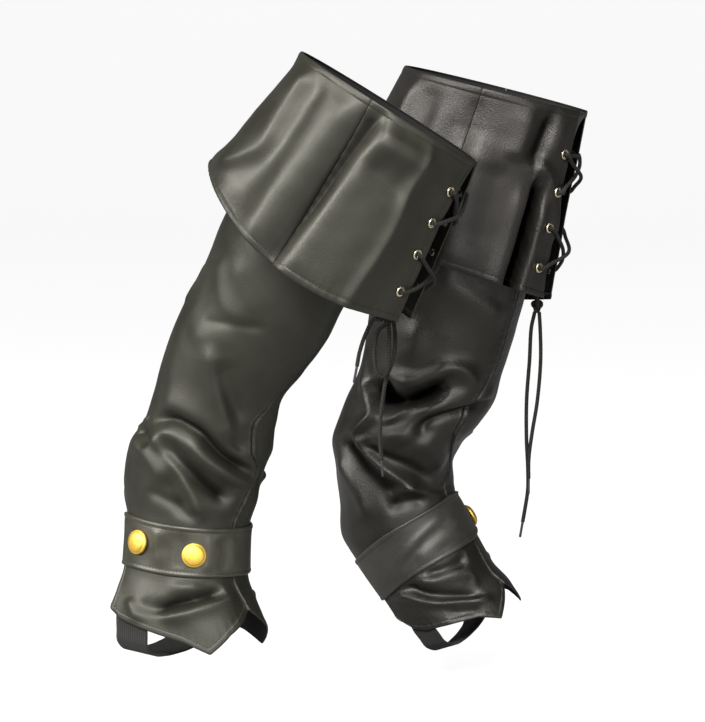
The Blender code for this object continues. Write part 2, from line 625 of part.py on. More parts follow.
def lace_route(cover):
    """The held lace: up one side from the knot, across the top and down the other side."""
    seats = {(hand, row): eyelet_seat(cover, hand, EYELET_ROWS[row - 1])
             for hand in (1, -1) for row in (1, 2, 3, 4)}

    def through(hand, row, outward):
        point, normal = seats[(hand, row)]
        steps = (-LACE_REACH, 0.0, LACE_REACH)
        return [point + normal * (step if outward else -step) for step in steps]

    def over_edge(hand, share, toward):
        share += (toward - share) * 0.18
        return cover.cuff_point(hand * (cover.cuff_edge(share) - 1), share, LACE_OVER_EDGE)

    def arch(start, end, rise):
        high, low = EYELET_ROWS[start[1] - 1], EYELET_ROWS[end[1] - 1]
        return [over_edge(start[0], high, low),
                cover.cuff_point(0, (high + low) / 2, rise, creased=False), over_edge(end[0], low, high)]

    def tucked(start, end):
        middle = (seats[start][0] + seats[end][0]) / 2
        return [middle - (seats[start][1] + seats[end][1]).normalized() * LACE_TUCK]

    def to_knot(hand):
        point, normal = seats[(hand, 4)]
        side = Vector((0, -hand * cover.side, 0))
        return [point.lerp(cover.knot, 0.45) - normal * 7.0,
                cover.knot + side * (KNOT_RADIUS + 7) + Vector((0, 0, 6)),
                cover.knot + side * (KNOT_RADIUS + 0.7) + Vector((0, 0, 1))]

    bar = [cover.cuff_point(around, EYELET_ROWS[0], -4.5, creased=False) for around in (12, 0, -12)]
    route = to_knot(1)[::-1] + through(1, 4, True)
    route += arch((1, 4), (-1, 3), 0.5) + through(-1, 3, False) + tucked((-1, 3), (-1, 2))
    route += through(-1, 2, True) + arch((-1, 2), (1, 1), 1.5) + through(1, 1, False) + bar
    route += through(-1, 1, True) + arch((-1, 1), (1, 2), 7.5) + through(1, 2, False)
    route += tucked((1, 2), (1, 3)) + through(1, 3, True) + arch((1, 3), (-1, 4), 6.5)
    route += through(-1, 4, False) + to_knot(-1)
    return route


def knot(cover, collection):
    """The lace's knot: a rounded lump that the strands leave."""
    mesh = bpy.data.meshes.new(cover.name + "_knot")
    work = bmesh.new()
    bmesh.ops.create_uvsphere(work, u_segments=10, v_segments=6, radius=KNOT_RADIUS * MM)
    work.to_mesh(mesh)
    work.free()
    item = add_object(cover.name + "_knot", mesh, "lace_cord", collection)
    item.location = cover.knot * MM


def lace(cover, collection):
    held = smooth_route(lace_route(cover), LACE_SPACING)
    cord(cover.name + "_lace", held, LACE_DIAMETER, "lace_cord", collection)
    knot(cover, collection)
    for label, places in cover.ends.items():
        route = smooth_route([cover.knot + Vector(place) for place in places], LACE_SPACING)
        cord("%s_lace_%s_end" % (cover.name, label), route, LACE_DIAMETER, "lace_cord", collection)
        along = (route[-1] - route[-2]).normalized()
        tip = [route[-1] + along * step for step in (SEAT_GAP, SEAT_GAP + TIP_LENGTH)]
        cord("%s_lace_%s_tip" % (cover.name, label), tip, TIP_DIAMETER, "lace_tip", collection)
    if cover.loop:
        route = smooth_route([cover.knot + Vector(place) for place in cover.loop], LACE_SPACING * 0.8)
        cord(cover.name + "_lace_loop", route, LACE_DIAMETER, "lace_cord", collection)


def stirrup(cover, collection):
    """An elastic band sewn inside both hems that runs down and under the arch of the foot."""
    inset = SHAFT_WALL / 2 + SEAT_GAP + STIRRUP_WALL / 2 + STIRRUP_SET_IN
    hem = cover.hem_down(STIRRUP_SHARE)
    sides = []
    falls = []
    for hand in (1, -1):
        spread = math.degrees(STIRRUP_WIDTH / 2 / CREASE_RADIUS) * hand
        rows = []
        for down in (hem - STIRRUP_OVERLAP, hem - STIRRUP_OVERLAP / 2, hem):
            around = cover.panel_angle(hand, STIRRUP_SHARE, down)
            rows.append([cover.shaft_point(around + way * spread, down, -inset) for way in (1, -1)])
        fall = (rows[-1][0] + rows[-1][1] - rows[0][0] - rows[0][1]).normalized()
        hem_row = rows[-1]
        for step in STIRRUP_LEGS:
            rows.append([point + fall * step for point in hem_row])
        sides.append(rows)
        falls.append(fall)
    outer, inner = sides
    fall = falls[0].lerp(falls[1], 0.5) * (STIRRUP_DROP - STIRRUP_LEGS[-1])
    under = []
    for share, drop in STIRRUP_ARCH:
        under.append([start.lerp(end, share) + fall * drop for start, end in zip(outer[-1], inner[-1])])
    rows = outer + under + inner[::-1]
    middles = [(left + right) / 2 for left, right in rows]

    def sheet(lift):
        raised = []
        for i, (left, right) in enumerate(rows):
            run = middles[min(i + 1, len(rows) - 1)] - middles[max(i - 1, 0)]
            normal = run.cross(right - left).normalized()
            raised.append([left + normal * lift, right + normal * lift])
        return raised

    cloth_wall(cover.name + "_stirrup", sheet, STIRRUP_WALL, "elastic", collection)


def build_cover(cover, collection, cutters):
    for hand in (1, -1):
        shaft_panel(cover, hand, collection)
    panels = {part: cuff_panel(cover, part, collection) for part in ("outer", "inner", "back")}
    strap(cover, collection)
    buttons(cover, collection)
    eyelets(cover, panels, collection, cutters)
    lace(cover, collection)
    stirrup(cover, collection)


def main():
    clear_scene()
    collection = bpy.data.collections.new("boot_covers")
    cutters = bpy.data.collections.new("cutters")
    bpy.context.scene.collection.children.link(collection)
    bpy.context.scene.collection.children.link(cutters)
    for cover in (RIGHT, LEFT):
        build_cover(cover, collection, cutters)


main()
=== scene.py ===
import math

import bpy
import numpy as np
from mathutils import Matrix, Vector


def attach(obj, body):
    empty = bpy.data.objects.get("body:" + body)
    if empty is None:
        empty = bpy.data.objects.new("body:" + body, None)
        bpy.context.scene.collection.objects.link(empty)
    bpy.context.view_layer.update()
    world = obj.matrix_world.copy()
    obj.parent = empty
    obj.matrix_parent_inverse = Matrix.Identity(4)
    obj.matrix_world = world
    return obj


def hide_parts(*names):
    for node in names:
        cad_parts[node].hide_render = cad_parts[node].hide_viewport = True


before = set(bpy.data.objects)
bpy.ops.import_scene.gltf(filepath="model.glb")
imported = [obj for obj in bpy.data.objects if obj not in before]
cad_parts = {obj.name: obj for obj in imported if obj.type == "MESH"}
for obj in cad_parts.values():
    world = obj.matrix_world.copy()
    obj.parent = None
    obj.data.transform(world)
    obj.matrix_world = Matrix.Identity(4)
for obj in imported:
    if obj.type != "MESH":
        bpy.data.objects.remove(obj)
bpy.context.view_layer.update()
mm = 0.001

cloth = {
    "shaftWall": 1.5, "cuffWall": 1.8, "strapWall": 1.8, "stirrupWall": 1.2,
    "shaftTurn": 25.0, "cuffTurn": 10.0,  # how far each tube is turned toward the side it is seen from
    "flatRadius": 60.0, "cuffRadius": 100.0, "cuffDepth": 150.0,  # the sizes that folds are drawn at
    "grid": 2.2, "seamGap": 0.3, "seatGap": 0.3,
    "strapFade": 9.0, "bandFade": 16.0,  # how far the folds fade out beside a strap and below a cuff's top
    "uvUnit": 100.0,  # one unit of the cloth's own map
}

# Each row is one section of a tube, from the top edge to the hem: how far down it lies, its middle and its
# two half widths. pitch tips it, wrap is where the panel's back edge lies in degrees from the front seam
# (180 closes the tube), and seam is how far the front seam has slipped toward the outer side. A cuff's sags
# drop its sides below its front, and opening is half the angle that its front stays open. The rows of a hem
# and a strap say how far they lie down, from the front seam (0) to the panel's back edge (1). Buttons are
# placed by degrees and distance down, and the free ends and the loop by steps from the knot.
ringNames = ("down", "x", "y", "z", "halfLength", "halfWidth", "pitch", "wrap", "seam")
cuffNames = ("share", "x", "y", "z", "halfLength", "halfWidth", "pitch", "sagOut", "sagIn", "opening")

rightCover = {
    "name": "right", "side": 1, "seeds": {"shaft": 11, "cuff": 31, "strap": 61},
    "rings": (
        (0, -1, 0, -2, 86.4, 83.4, -32, 180, 0),
        (12, -7, 1, -12, 83, 79, -32, 180, 0),
        (80, -47, 10, -68, 72, 67, -31, 180, 0),
        (165, -92, 22, -138, 65, 63, -32, 180, 0),
        (210, -110, 32, -178, 62, 62, -30, 180, 0),
        (247, -129, 40, -208, 60, 60, -29, 180, 2),
        (286, -147, 48, -242, 56, 57, -25, 180, 8),
        (314, -154, 53, -269, 56, 56, -18, 180, 24),
        (341, -161, 57, -295, 58, 55, -13, 180, 22),
        (363, -171, 60, -315, 62, 56, -10, 180, 4),
        (390, -177, 62, -341, 62, 54, -8, 180, 12),
        (419, -180, 62, -370, 57, 50, -6, 140, 19),
        (463, -185, 60, -414, 60, 52, -5, 127, 15),
        (487, -188, 56, -437, 73, 54, -5, 122, 10),
        (505, -190, 52, -454, 85, 55, -6, 119, 8),
        (545, -190, 48, -492, 98, 57, -6, 114, 6),
    ),
    "hem": ((0.0, 491), (0.25, 511), (0.4167, 530), (0.55, 522), (0.8, 515), (0.92, 511), (1.0, 504)),
    "strap": ((0.0, 419, 463), (0.5, 420, 464), (1.0, 419, 463)),
    "cuff": (
        (0.0, 0, 0, 0, 89, 86, -32, 0, 0, 4),
        (0.2, -13, 2, -24, 95, 88, -32, 4, 0, 17),
        (0.5, -33, 6, -60, 103, 92, -34, 11, 0, 23),
        (0.8, -53, 10, -96, 110, 96, -36, 20, 2, 24),
        (1.0, -67, 12, -120, 114, 98, -38, 28, 8, 23),
    ),
    "buttons": ((109.0, 440), (57.0, 444)),
    "knot": (-1, -8, -184),
    "ends": {
        "long": ((5, 3.5, -3), (6.5, 4.5, -18), (4.5, 3.5, -37), (-1, 2, -51), (-5, -1, -75),
                 (-7, -3, -102), (-5.5, -3, -124)),
        "short": ((-5, -3.6, -1), (-12, -5, 0), (-19, -5, -12), (-24.5, -5, -28), (-27, -5, -41)),
    },
    "loop": ((-2.5, -2, -5.2), (-9, -5, -11), (-12, -7, -28), (-10, -7, -45), (-5, -5, -50.5),
             (-0.5, -3, -45), (1, -2, -28), (1, -1.5, -12), (0.8, -0.5, -5.8)),
}
leftCover = {
    "name": "left", "side": -1, "seeds": {"shaft": 23, "cuff": 47, "strap": 73},
    "rings": (
        (0, 102.5, 200, 5, 85.2, 83.2, -14, 180, -10),
        (12, 99.5, 201, -7, 81, 78, -14, 180, -10),
        (91, 79, 206, -82, 76, 67, -14, 180, -10),
        (181, 60, 214, -170, 73, 63, -11, 180, -10),
        (226, 52, 220, -215, 69, 61, -5, 180, -10),
        (264, 44, 224, -252, 68, 60, -1, 180, -12),
        (301, 32, 228, -286, 72, 58, 2, 180, -28),
        (329, 20, 231, -311, 69, 57, 3, 180, -28),
        (353, 10, 234, -332, 61, 55, 2, 180, -12),
        (374, 8, 236, -353, 55, 54, 4, 180, 4),
        (398, 10, 239, -377, 55, 52, 12, 180, -10),
        (422, 12, 240, -398, 58.5, 50, 21, 180, -8),
        (443, 20, 240, -413, 57.5, 50, 27, 150, -4),
        (486, 40, 238, -449, 57, 51, 33, 130, 0),
        (510, 52, 236, -472, 57, 52, 29, 122, 0),
        (530, 62, 233, -486, 62, 53, 24, 117, 0),
        (570, 74, 230, -522, 72, 55, 18, 112, 0),
    ),
    "hem": ((0.0, 526), (0.25, 550), (0.4167, 540), (0.6, 537), (0.83, 534), (0.92, 528), (1.0, 508)),
    "strap": ((0.0, 413, 483), (0.55, 432, 478), (1.0, 447, 487)),
    "cuff": (
        (0.0, 103, 200, 7, 88, 86, -14, 0, 0, 22),
        (0.2, 92, 202, -26, 94, 88, -15, 4, 0, 24),
        (0.5, 77, 206, -75, 102, 92, -16, 11, 0, 27),
        (0.8, 62, 210, -124, 110, 96, -17, 20, -2, 27),
        (1.0, 52, 212, -156, 113, 98, -17, 28, -6, 24),
    ),
    "buttons": ((98.0, 466), (40.0, 466)),
    "knot": (139, 176, -193),
    "ends": {
        "long": ((-2, 1.5, -5.4), (-5, 2.5, -20), (-6.5, 2, -50), (-9, 1, -87), (-9, 0, -123),
                 (-7.5, 0, -153), (-7.5, 0, -172), (-10, 0, -190), (-12, 0, -202)),
        "short": ((2, -1.5, -5.4), (3, -2.5, -22), (3.5, -2.5, -51), (0.5, -3.5, -89), (-4, -5, -117),
                  (-7, -5.4, -142), (-7, -5.4, -160)),
    },
    "loop": None,
}


def table(rows, names):
    return {name: np.array([row[i] for row in rows], float) for i, name in enumerate(names)}


for cover in (rightCover, leftCover):
    cover["ringTable"] = table(cover["rings"], ringNames)
    cover["hemTable"] = table(cover["hem"], ("share", "down"))
    cover["strapTable"] = table(cover["strap"], ("share", "upper", "lower"))
    cover["cuffTable"] = table(cover["cuff"], cuffNames)


# the forms of the bare tubes
def throughKnots(knots, values, at):
    # a cubic through the knots that never swings past them, and straight beyond the last one
    at = np.asarray(at, float)
    slope = np.diff(values) / np.diff(knots)
    lean = np.concatenate(([slope[0]], np.zeros(len(slope) - 1), [slope[-1]]))
    product = slope[:-1] * slope[1:]
    total = np.where(product > 0, slope[:-1] + slope[1:], 1.0)
    lean[1:-1] = np.where(product > 0, 2 * product / total, 0.0)
    i = np.clip(np.searchsorted(knots, at) - 1, 0, len(knots) - 2)
    span = knots[i + 1] - knots[i]
    t = (at - knots[i]) / span
    curve = (values[i] * (1 + 2 * t) * (1 - t) ** 2 + lean[i] * span * t * (1 - t) ** 2
             + values[i + 1] * t * t * (3 - 2 * t) + lean[i + 1] * span * t * t * (t - 1))
    return np.where(at > knots[-1], values[-1] + lean[-1] * (at - knots[-1]), curve)


def sectionAt(rows, key, at):
    return {name: throughKnots(rows[key], values, at) for name, values in rows.items() if name != key}


def ovalPoint(ring, turn, side, around):
    pitch = np.radians(ring["pitch"])
    turn = math.radians(turn)
    level = np.stack([np.cos(pitch), np.zeros_like(pitch), np.sin(pitch)], -1)
    across = np.array([0.0, -1.0, 0.0])
    forward = level * math.cos(turn) + across * math.sin(turn)
    outer = (across * math.cos(turn) - level * math.sin(turn)) * side
    angle = np.radians(around)
    centre = np.stack([ring["x"], ring["y"], ring["z"]], -1)
    return (centre + forward * (ring["halfLength"] * np.cos(angle))[..., None]
            + outer * (ring["halfWidth"] * np.sin(angle))[..., None])


def unit(v):
    return v / np.maximum(np.linalg.norm(v, axis=-1, keepdims=True), 1e-9)


def shaftBase(cover, around, down):
    around, down = np.broadcast_arrays(np.asarray(around, float), np.asarray(down, float))
    return ovalPoint(sectionAt(cover["ringTable"], "down", down), cloth["shaftTurn"], cover["side"], around)


def shaftNormal(cover, around, down):
    sideways = shaftBase(cover, around + 1, down) - shaftBase(cover, around - 1, down)
    downward = shaftBase(cover, around, down + 2) - shaftBase(cover, around, down - 2)
    return unit(np.cross(sideways, downward) * cover["side"])


def cuffBase(cover, around, share):
    around, share = np.broadcast_arrays(np.asarray(around, float), np.asarray(share, float))
    ring = sectionAt(cover["cuffTable"], "share", share)
    point = ovalPoint(ring, cloth["cuffTurn"], cover["side"], around)
    pitch = np.radians(ring["pitch"])
    alongTube = np.stack([np.sin(pitch), np.zeros_like(pitch), -np.cos(pitch)], -1)
    sine = np.sin(np.radians(around))
    sag = np.where(sine > 0, ring["sagOut"], ring["sagIn"])
    return point + alongTube * (sag * sine * sine)[..., None]


def cuffNormal(cover, around, share):
    sideways = cuffBase(cover, around + 1, share) - cuffBase(cover, around - 1, share)
    downward = cuffBase(cover, around, share + 0.02) - cuffBase(cover, around, np.maximum(0, share - 0.02))
    return unit(np.cross(sideways, downward) * cover["side"])


def smoothStep(t):
    t = np.clip(t, 0, 1)
    return t * t * (3 - 2 * t)


def roundedLine(points, steps=7):
    # a line that passes smoothly through its points
    points = np.asarray(points, float)
    if len(points) == 2:
        return points
    ends = np.vstack([points[0] * 2 - points[1], points, points[-1] * 2 - points[-2]])
    t = np.linspace(0, 1, steps, endpoint=False)[:, None]
    runs = []
    for a, b, c, d in zip(ends, ends[1:], ends[2:], ends[3:]):
        runs.append(0.5 * (2 * b + (c - a) * t + (2 * a - 5 * b + 4 * c - d) * t ** 2
                           + (3 * b - a - 3 * c + d) * t ** 3))
    return np.vstack([*runs, points[-1:]])


# Folds are drawn on the cloth laid flat: height (ridges above 0), width, how much softer the flank on
# the line's right hand is, how crisp the top is (0 round, 1 sharp, below 0 a flat-bottomed trench),
# then the line as (degrees from the front seam, outer side above 0, and distance down).
def foldHeight(folds, around, down):
    # each place takes its height from the nearest place on a fold's line
    here = np.stack([np.radians(around) * cloth["flatRadius"], np.broadcast_to(down, around.shape)], -1)
    total = np.zeros(around.shape)
    for height, width, soft, crisp, path in folds:
        line = roundedLine(path)
        line = np.stack([np.radians(line[:, 0]) * cloth["flatRadius"], line[:, 1]], -1)
        reach = 3.2 * width * max(1.0, soft)
        close = ((here > line.min(0) - reach) & (here < line.max(0) + reach)).all(-1)
        if not close.any():
            continue
        spot = here[close]
        best = np.full(len(spot), 1e9)
        side = np.ones(len(spot))
        along = np.zeros(len(spot))
        lengths = np.linalg.norm(np.diff(line, axis=0), axis=1)
        run = np.concatenate(([0], np.cumsum(lengths)))
        for a, b, start, length in zip(line, line[1:], run, lengths):
            way = (b - a) / length
            t = np.clip((spot - a) @ way, 0, length)
            gap = spot - a - t[:, None] * way
            distance = np.hypot(gap[:, 0], gap[:, 1])
            nearer = distance < best
            best = np.where(nearer, distance, best)
            side = np.where(nearer, np.sign(way[0] * gap[:, 1] - way[1] * gap[:, 0]), side)
            along = np.where(nearer, (start + t) / run[-1], along)
        reachHere = width * np.where(side > 0, soft, 1.0)
        blunt = reachHere * (1.05 - crisp)
        if crisp < 0:
            profile = np.exp(-(best / reachHere) ** 4)
        else:
            profile = np.exp(-(np.sqrt(best ** 2 + blunt ** 2) - blunt) * 1.7 / reachHere)
            profile = profile * np.exp(-(best / (reachHere * 1.9)) ** 2)
        tail = min(0.5, max(0.2, 2.0 * width / run[-1]))
        fade = smoothStep(along / tail) * smoothStep((1 - along) / tail)
        total[close] += height * profile * fade
    return total


# painted shade in deep folds: it starts this deep, reaches full this much deeper, and floor is the painted
# black of a fold's floor
creaseShade = {"from": 2.5, "over": 7.5, "floor": (0.0015, 0.0014, 0.0012, 1.0)}


def creaseShadeAmount(height):
    # how deep in a fold a place lies, from 0 to 1, which is how much painted shade it gets: the deepest folds
    # are painted black
    return smoothStep((-height - creaseShade["from"]) / creaseShade["over"])


def waviness(u, v, seed, size):
    # gentle uneven swells, the same each time
    turn = np.random.default_rng(seed)
    total = np.zeros(np.broadcast(u, v).shape)
    for wave in (96, 61, 38, 23):
        way, shift, bend = turn.uniform(0, math.tau, 3)
        across = u * math.cos(way) + v * math.sin(way)
        beside = v * math.cos(way) - u * math.sin(way)
        sway = 1.3 * np.sin(beside / wave * 2 + bend)
        total += wave ** 0.8 * np.sin(math.tau * across / wave + shift + sway)
    return total * size / 100


def puckers(run, seed, pitch=9.0):
    # uneven little gathers along a seam
    turn = np.random.default_rng(seed)
    a, b, c = turn.uniform(0, math.tau, 3)
    return (np.sin(math.tau * run / pitch + 1.6 * np.sin(run / 17 + a) + b)
            * (0.65 + 0.35 * np.sin(run / 31 + c)))


def hemProfile(gap, fold, stitch):
    # a folded hem: thicker up to its stitch line, which sinks in, and rounded over at the edge
    band = 0.45 * smoothStep((fold + 0.5 - gap) / 1.0)
    sunk = -0.55 * np.exp(-((gap - stitch) / 0.8) ** 2)
    edge = -0.7 * np.exp(-(gap / 0.7) ** 2)
    return band + sunk + edge


def hemDown(cover, share):
    return np.interp(share, cover["hemTable"]["share"], cover["hemTable"]["down"])


def strapEdge(cover, edge, share):
    return throughKnots(cover["strapTable"]["share"], cover["strapTable"][edge], share)


def panelAngle(cover, hand, share, down):
    rings = cover["ringTable"]
    wrap = np.minimum(180.0, throughKnots(rings["down"], rings["wrap"], down))
    seam = throughKnots(rings["down"], rings["seam"], down)
    trim = math.degrees(cloth["seamGap"] / 2 / cloth["flatRadius"])
    start = seam + hand * trim
    return start + (hand * (wrap - trim) - start) * share


def strapFade(cover, around, down):
    share = np.minimum(1.0, np.abs(around) / 140)
    above = strapEdge(cover, "upper", share) - down
    below = down - strapEdge(cover, "lower", share)
    return smoothStep(np.maximum(above, below) / cloth["strapFade"])


def shaftPlace(cover, around, down, lift):
    return shaftBase(cover, around, down) + shaftNormal(cover, around, down) * np.asarray(lift)[..., None]


cuffFolds = {
    "right": (
        # a flat facet at the back ends in a crisp ridge that bends round to the hem
        (7.0, 6, 3.0, 0.5, ((156, 150), (146, 128), (136, 106), (130, 86), (131, 62), (133, 40), (134, 16),
                            (134, -10))),
        (-4.0, 10, 1.3, 0.0, ((120, -6), (120, 40), (121, 90), (126, 130), (132, 156))),
        (4.0, 9, 1.5, 0.1, ((113, -10), (113, 30), (112, 66), (110, 100), (106, 132), (104, 170))),
        # the side seam lies in a deep groove, its back wall the long one
        (-9.0, 3.8, 2.3, 0.2, ((94, 176), (92, 124), (90, 90), (88, 48), (85, 14), (82, -18))),
        (4.0, 6, 1.6, 0.3, ((74, -14), (77, 18), (80, 48), (82, 76), (83, 100), (84, 130), (85, 170))),
        (4.0, 7, 1.4, 0.1, ((105, 170), (107, 124), (106, 90), (104, 50), (100, -6))),
        # the flat panel in front of it, with a soft dent near the top
        (3.4, 20, 1.0, 0.0, ((62, -20), (64, 40), (66, 100), (67, 180))),
        (3.6, 9, 1.5, 0.0, ((86, 22), (72, 25), (58, 25), (44, 20))),
        (-3.4, 9, 1.6, 0.0, ((86, 40), (74, 46), (62, 51), (46, 55))),
        # the placket turns away at a crease
        (4.2, 4.5, 1.1, 0.5, ((52, -16), (50, 14), (51, 30), (53, 50), (52, 76), (53, 104), (55, 130),
                              (56, 176))),
        (-3.6, 10, 1.2, 0.0, ((38, -16), (36, 30), (38, 90), (41, 176))),
        # the inner side
        (-6.0, 7, 1.0, 0.2, ((-56, 20), (-58, 90), (-58, 166))),
        (4.5, 6, 1.4, 0.3, ((-66, -8), (-65, 70), (-64, 160))),
        (4.0, 6, 1.4, 0.3, ((-46, 30), (-47, 90), (-46, 150))),
        (-3.5, 5, 1.2, 0.3, ((-92, -12), (-92, 166))),
        (-4.5, 9, 1.4, 0.1, ((-122, -4), (-124, 76), (-128, 156))),
        (4.0, 7, 1.4, 0.4, ((-136, -6), (-138, 70), (-142, 150))),
        (-4.0, 11, 1.2, 0.0, ((170, -4), (171, 60), (172, 140))),
    ),
    "left": (
        (-8.5, 3.6, 1.8, 0.1, ((-44, -12), (-46, 14), (-49, 34), (-52, 54))),
        (5.0, 6, 1.5, 0.3, ((-60, -6), (-61, 24), (-62, 52))),
        (3.0, 7, 1.5, 0.2, ((-35, -6), (-36, 24), (-40, 44))),
        # one deep trench runs down to the hem, its back wall the long one
        (-17.0, 3.9, 1.0, -1.0, ((-43.5, 50), (-45.5, 66), (-47, 90), (-48, 114), (-49, 140), (-49.5, 190))),
        (4.0, 4.5, 2.4, 0.3, ((-58, 176), (-57.5, 140), (-57, 110), (-56, 80), (-55, 58))),
        (5.5, 5, 1.6, 0.3, ((-58, 52), (-50, 46), (-42, 52), (-35, 64), (-30, 82), (-28, 106))),
        (4.5, 4, 1.8, 0.5, ((-38, 66), (-40, 90), (-41, 120), (-42, 176))),
        (-2.5, 8, 1.3, 0.0, ((-72, 50), (-72, 86), (-72, 130))),
        (6.0, 13, 1.3, 0.0, ((-84, 30), (-82, 76), (-81, 110), (-80, 160))),
        (-3.0, 5, 1.2, 0.3, ((-92, -12), (-92, 166))),
        (-4.5, 9, 1.4, 0.1, ((-120, -4), (-122, 76), (-126, 156))),
        (4.0, 7, 1.4, 0.4, ((-136, -6), (-138, 70), (-142, 150))),
        # the outer side
        (6.0, 4, 3.6, 0.6, ((54, -8), (51, 30), (52, 90), (55, 166))),
        (-6.5, 4.6, 1.2, 0.2, ((90, -14), (92, 60), (93, 166))),
        (4.2, 5, 1.6, 0.5, ((84, -8), (86, 60), (87, 160))),
        (-5.0, 9, 1.4, 0.1, ((124, -4), (125, 70), (128, 150))),
        (6.0, 6, 2.0, 0.5, ((148, 140), (136, 100), (134, 50), (134, -6))),
        (-4.0, 11, 1.2, 0.0, ((168, -4), (170, 60), (172, 140))),
    ),
}


def cuffPlace(cover, around, share, lift=0.0, folded=True):
    around = np.asarray(around, float)
    share = np.asarray(share, float)
    down = share * cloth["cuffDepth"]
    height = np.zeros(np.broadcast(around, share).shape) + lift
    if folded:
        around, down = np.broadcast_arrays(around, down)
        height = height + (foldHeight(cuffFolds[cover["name"]], np.atleast_1d(around), np.atleast_1d(down))
                           .reshape(height.shape) * np.minimum(1.0, down / cloth["bandFade"]))
    return cuffBase(cover, around, share) + cuffNormal(cover, around, share) * height[..., None]


def cuffEdge(cover, share):
    return throughKnots(cover["cuffTable"]["share"], cover["cuffTable"]["opening"], share)


materials = {}


def addPiece(name, mesh, material, stands=(), inside=None):
    piece = bpy.data.objects.new(name, mesh)
    bpy.context.scene.collection.objects.link(piece)
    mesh.materials.append(materials[material])
    if inside:
        mesh.materials.append(materials[inside])
    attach(piece, "root")
    if stands:
        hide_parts(*stands)
    return piece


def meshFrom(name, points, faces, uvs=None):
    mesh = bpy.data.meshes.new(name)
    mesh.from_pydata([tuple(p) for p in np.asarray(points) * mm], [], faces)
    if uvs is not None:
        layer = mesh.uv_layers.new(name="flat")
        corners = np.empty(len(mesh.loops), np.int32)
        mesh.loops.foreach_get("vertex_index", corners)
        layer.data.foreach_set("uv", np.asarray(uvs, np.float32)[corners].ravel())
    mesh.polygons.foreach_set("use_smooth", [True] * len(mesh.polygons))
    mesh.update()
    return mesh


def gridFaces(rows, columns, first=0, flip=False):
    r, c = np.meshgrid(np.arange(rows - 1), np.arange(columns - 1), indexing="ij")
    a = (first + r * columns + c).ravel()
    quads = np.stack([a, a + columns, a + columns + 1, a + 1], -1)
    return (quads[:, ::-1] if flip else quads).tolist()


def ringFaces(rows, sides, closed=False, first=0):
    # quads between rows of points, where each row is a ring
    faces = []
    for r in range(rows if closed else rows - 1):
        here, below = first + r * sides, first + (r + 1) % rows * sides
        for k in range(sides):
            beside = (k + 1) % sides
            faces.append((here + k, here + beside, below + beside, below + k))
    return faces


def shell(name, top, bottom, flat, flip, facing=None, creaseShadeMask=None):
    # two faces of cloth, closed along every edge; top and bottom are grids of places, and the inside
    # shows the backing, apart from the columns of a turned-in facing
    rows, columns = top.shape[:2]
    count = rows * columns
    faces = gridFaces(rows, columns, 0, flip) + gridFaces(rows, columns, count, not flip)
    rim = ([(0, c) for c in range(columns)] + [(r, columns - 1) for r in range(1, rows)]
           + [(rows - 1, c) for c in range(columns - 2, -1, -1)] + [(r, 0) for r in range(rows - 2, 0, -1)])
    rim = [r * columns + c for r, c in rim]
    for a, b in zip(rim, rim[1:] + rim[:1]):
        side = (a, b, b + count, a + count)
        faces.append(side[::-1] if flip else side)
    points = np.concatenate([top.reshape(-1, 3), bottom.reshape(-1, 3)])
    uvs = np.concatenate([flat.reshape(-1, 2)] * 2) / cloth["uvUnit"]
    mesh = meshFrom(name, points, faces, uvs)
    if creaseShadeMask is not None:
        # how deep in a fold each place lies, from 0 to 1, for the painted shade that blackens the leather in
        # deep creases
        depth = mesh.attributes.new("creaseShadeMask", "FLOAT", "POINT")
        depth.data.foreach_set("value", np.concatenate([creaseShadeMask.ravel()] * 2).astype(np.float32))
    if facing is not None:
        quads = (rows - 1) * (columns - 1)
        index = np.zeros(len(faces), np.int32)
        index[quads:2 * quads] = np.tile(np.arange(columns - 1) >= facing, rows - 1)
        mesh.polygons.foreach_set("material_index", index)
    return mesh


def spread(length, edges, step):
    # places across a panel, closer together beside its two edges where it is sewn
    near = np.array((0, 0.5, 1.1, 1.9, 2.9, 3.9, 4.7, 5.3, 5.9, 6.5, 7.3, 8.5))
    start = near if edges[0] else near[:1]
    end = near if edges[1] else near[:1]
    middle = length - start[-1] - end[-1]
    count = max(2, round(middle / step))
    inner = start[-1] + middle * np.arange(1, count) / count
    return np.concatenate([start, inner, length - end[::-1]])


def tube(name, points, radius, sides=12, closed=False):
    # a round cord swept along its points, with rounded ends
    points = np.asarray(points, float)
    along = np.gradient(points, axis=0)
    if closed:
        along = np.roll(points, -1, 0) - np.roll(points, 1, 0)
    along = unit(along)
    normal = unit(np.cross(along[0], (0.3, 1.0, 0.2)))
    frames = []
    for direction in along:
        normal = unit(normal - direction * (normal @ direction))
        frames.append((normal, np.cross(direction, normal)))
    ring = np.linspace(0, math.tau, sides, endpoint=False)
    run = np.concatenate(([0], np.cumsum(np.linalg.norm(np.diff(points, axis=0), axis=1))))
    rows = []
    stations = []
    if not closed:
        stations += [(0, -0.55, 0.35), (0, -0.3, 0.8)]
    stations += [(i, 0.0, 1.0) for i in range(len(points))]
    if not closed:
        stations += [(len(points) - 1, 0.3, 0.8), (len(points) - 1, 0.55, 0.35)]
    flat = []
    for i, push, size in stations:
        a, b = frames[i]
        centre = points[i] + along[i] * push * radius
        rows.append(centre + radius * size * (np.cos(ring)[:, None] * a + np.sin(ring)[:, None] * b))
        flat += [(k / sides, (run[i] + push * radius) / cloth["uvUnit"]) for k in range(sides)]
    rows = np.array(rows)
    count = len(rows)
    faces = ringFaces(count, sides, closed)
    if not closed:
        faces.append(tuple(range(sides))[::-1])
        faces.append(tuple((count - 1) * sides + k for k in range(sides)))
    mesh = meshFrom(name, rows.reshape(-1, 3), faces)
    layer = mesh.uv_layers.new(name="flat")
    coords = []
    for face in faces:
        wrap = len(face) == 4 and (face[1] % sides == 0 and face[0] % sides == sides - 1)
        for vertex in face:
            u, v = flat[vertex]
            coords += [u + (1.0 if wrap and vertex % sides == 0 else 0.0), v]
    layer.data.foreach_set("uv", coords)
    return mesh


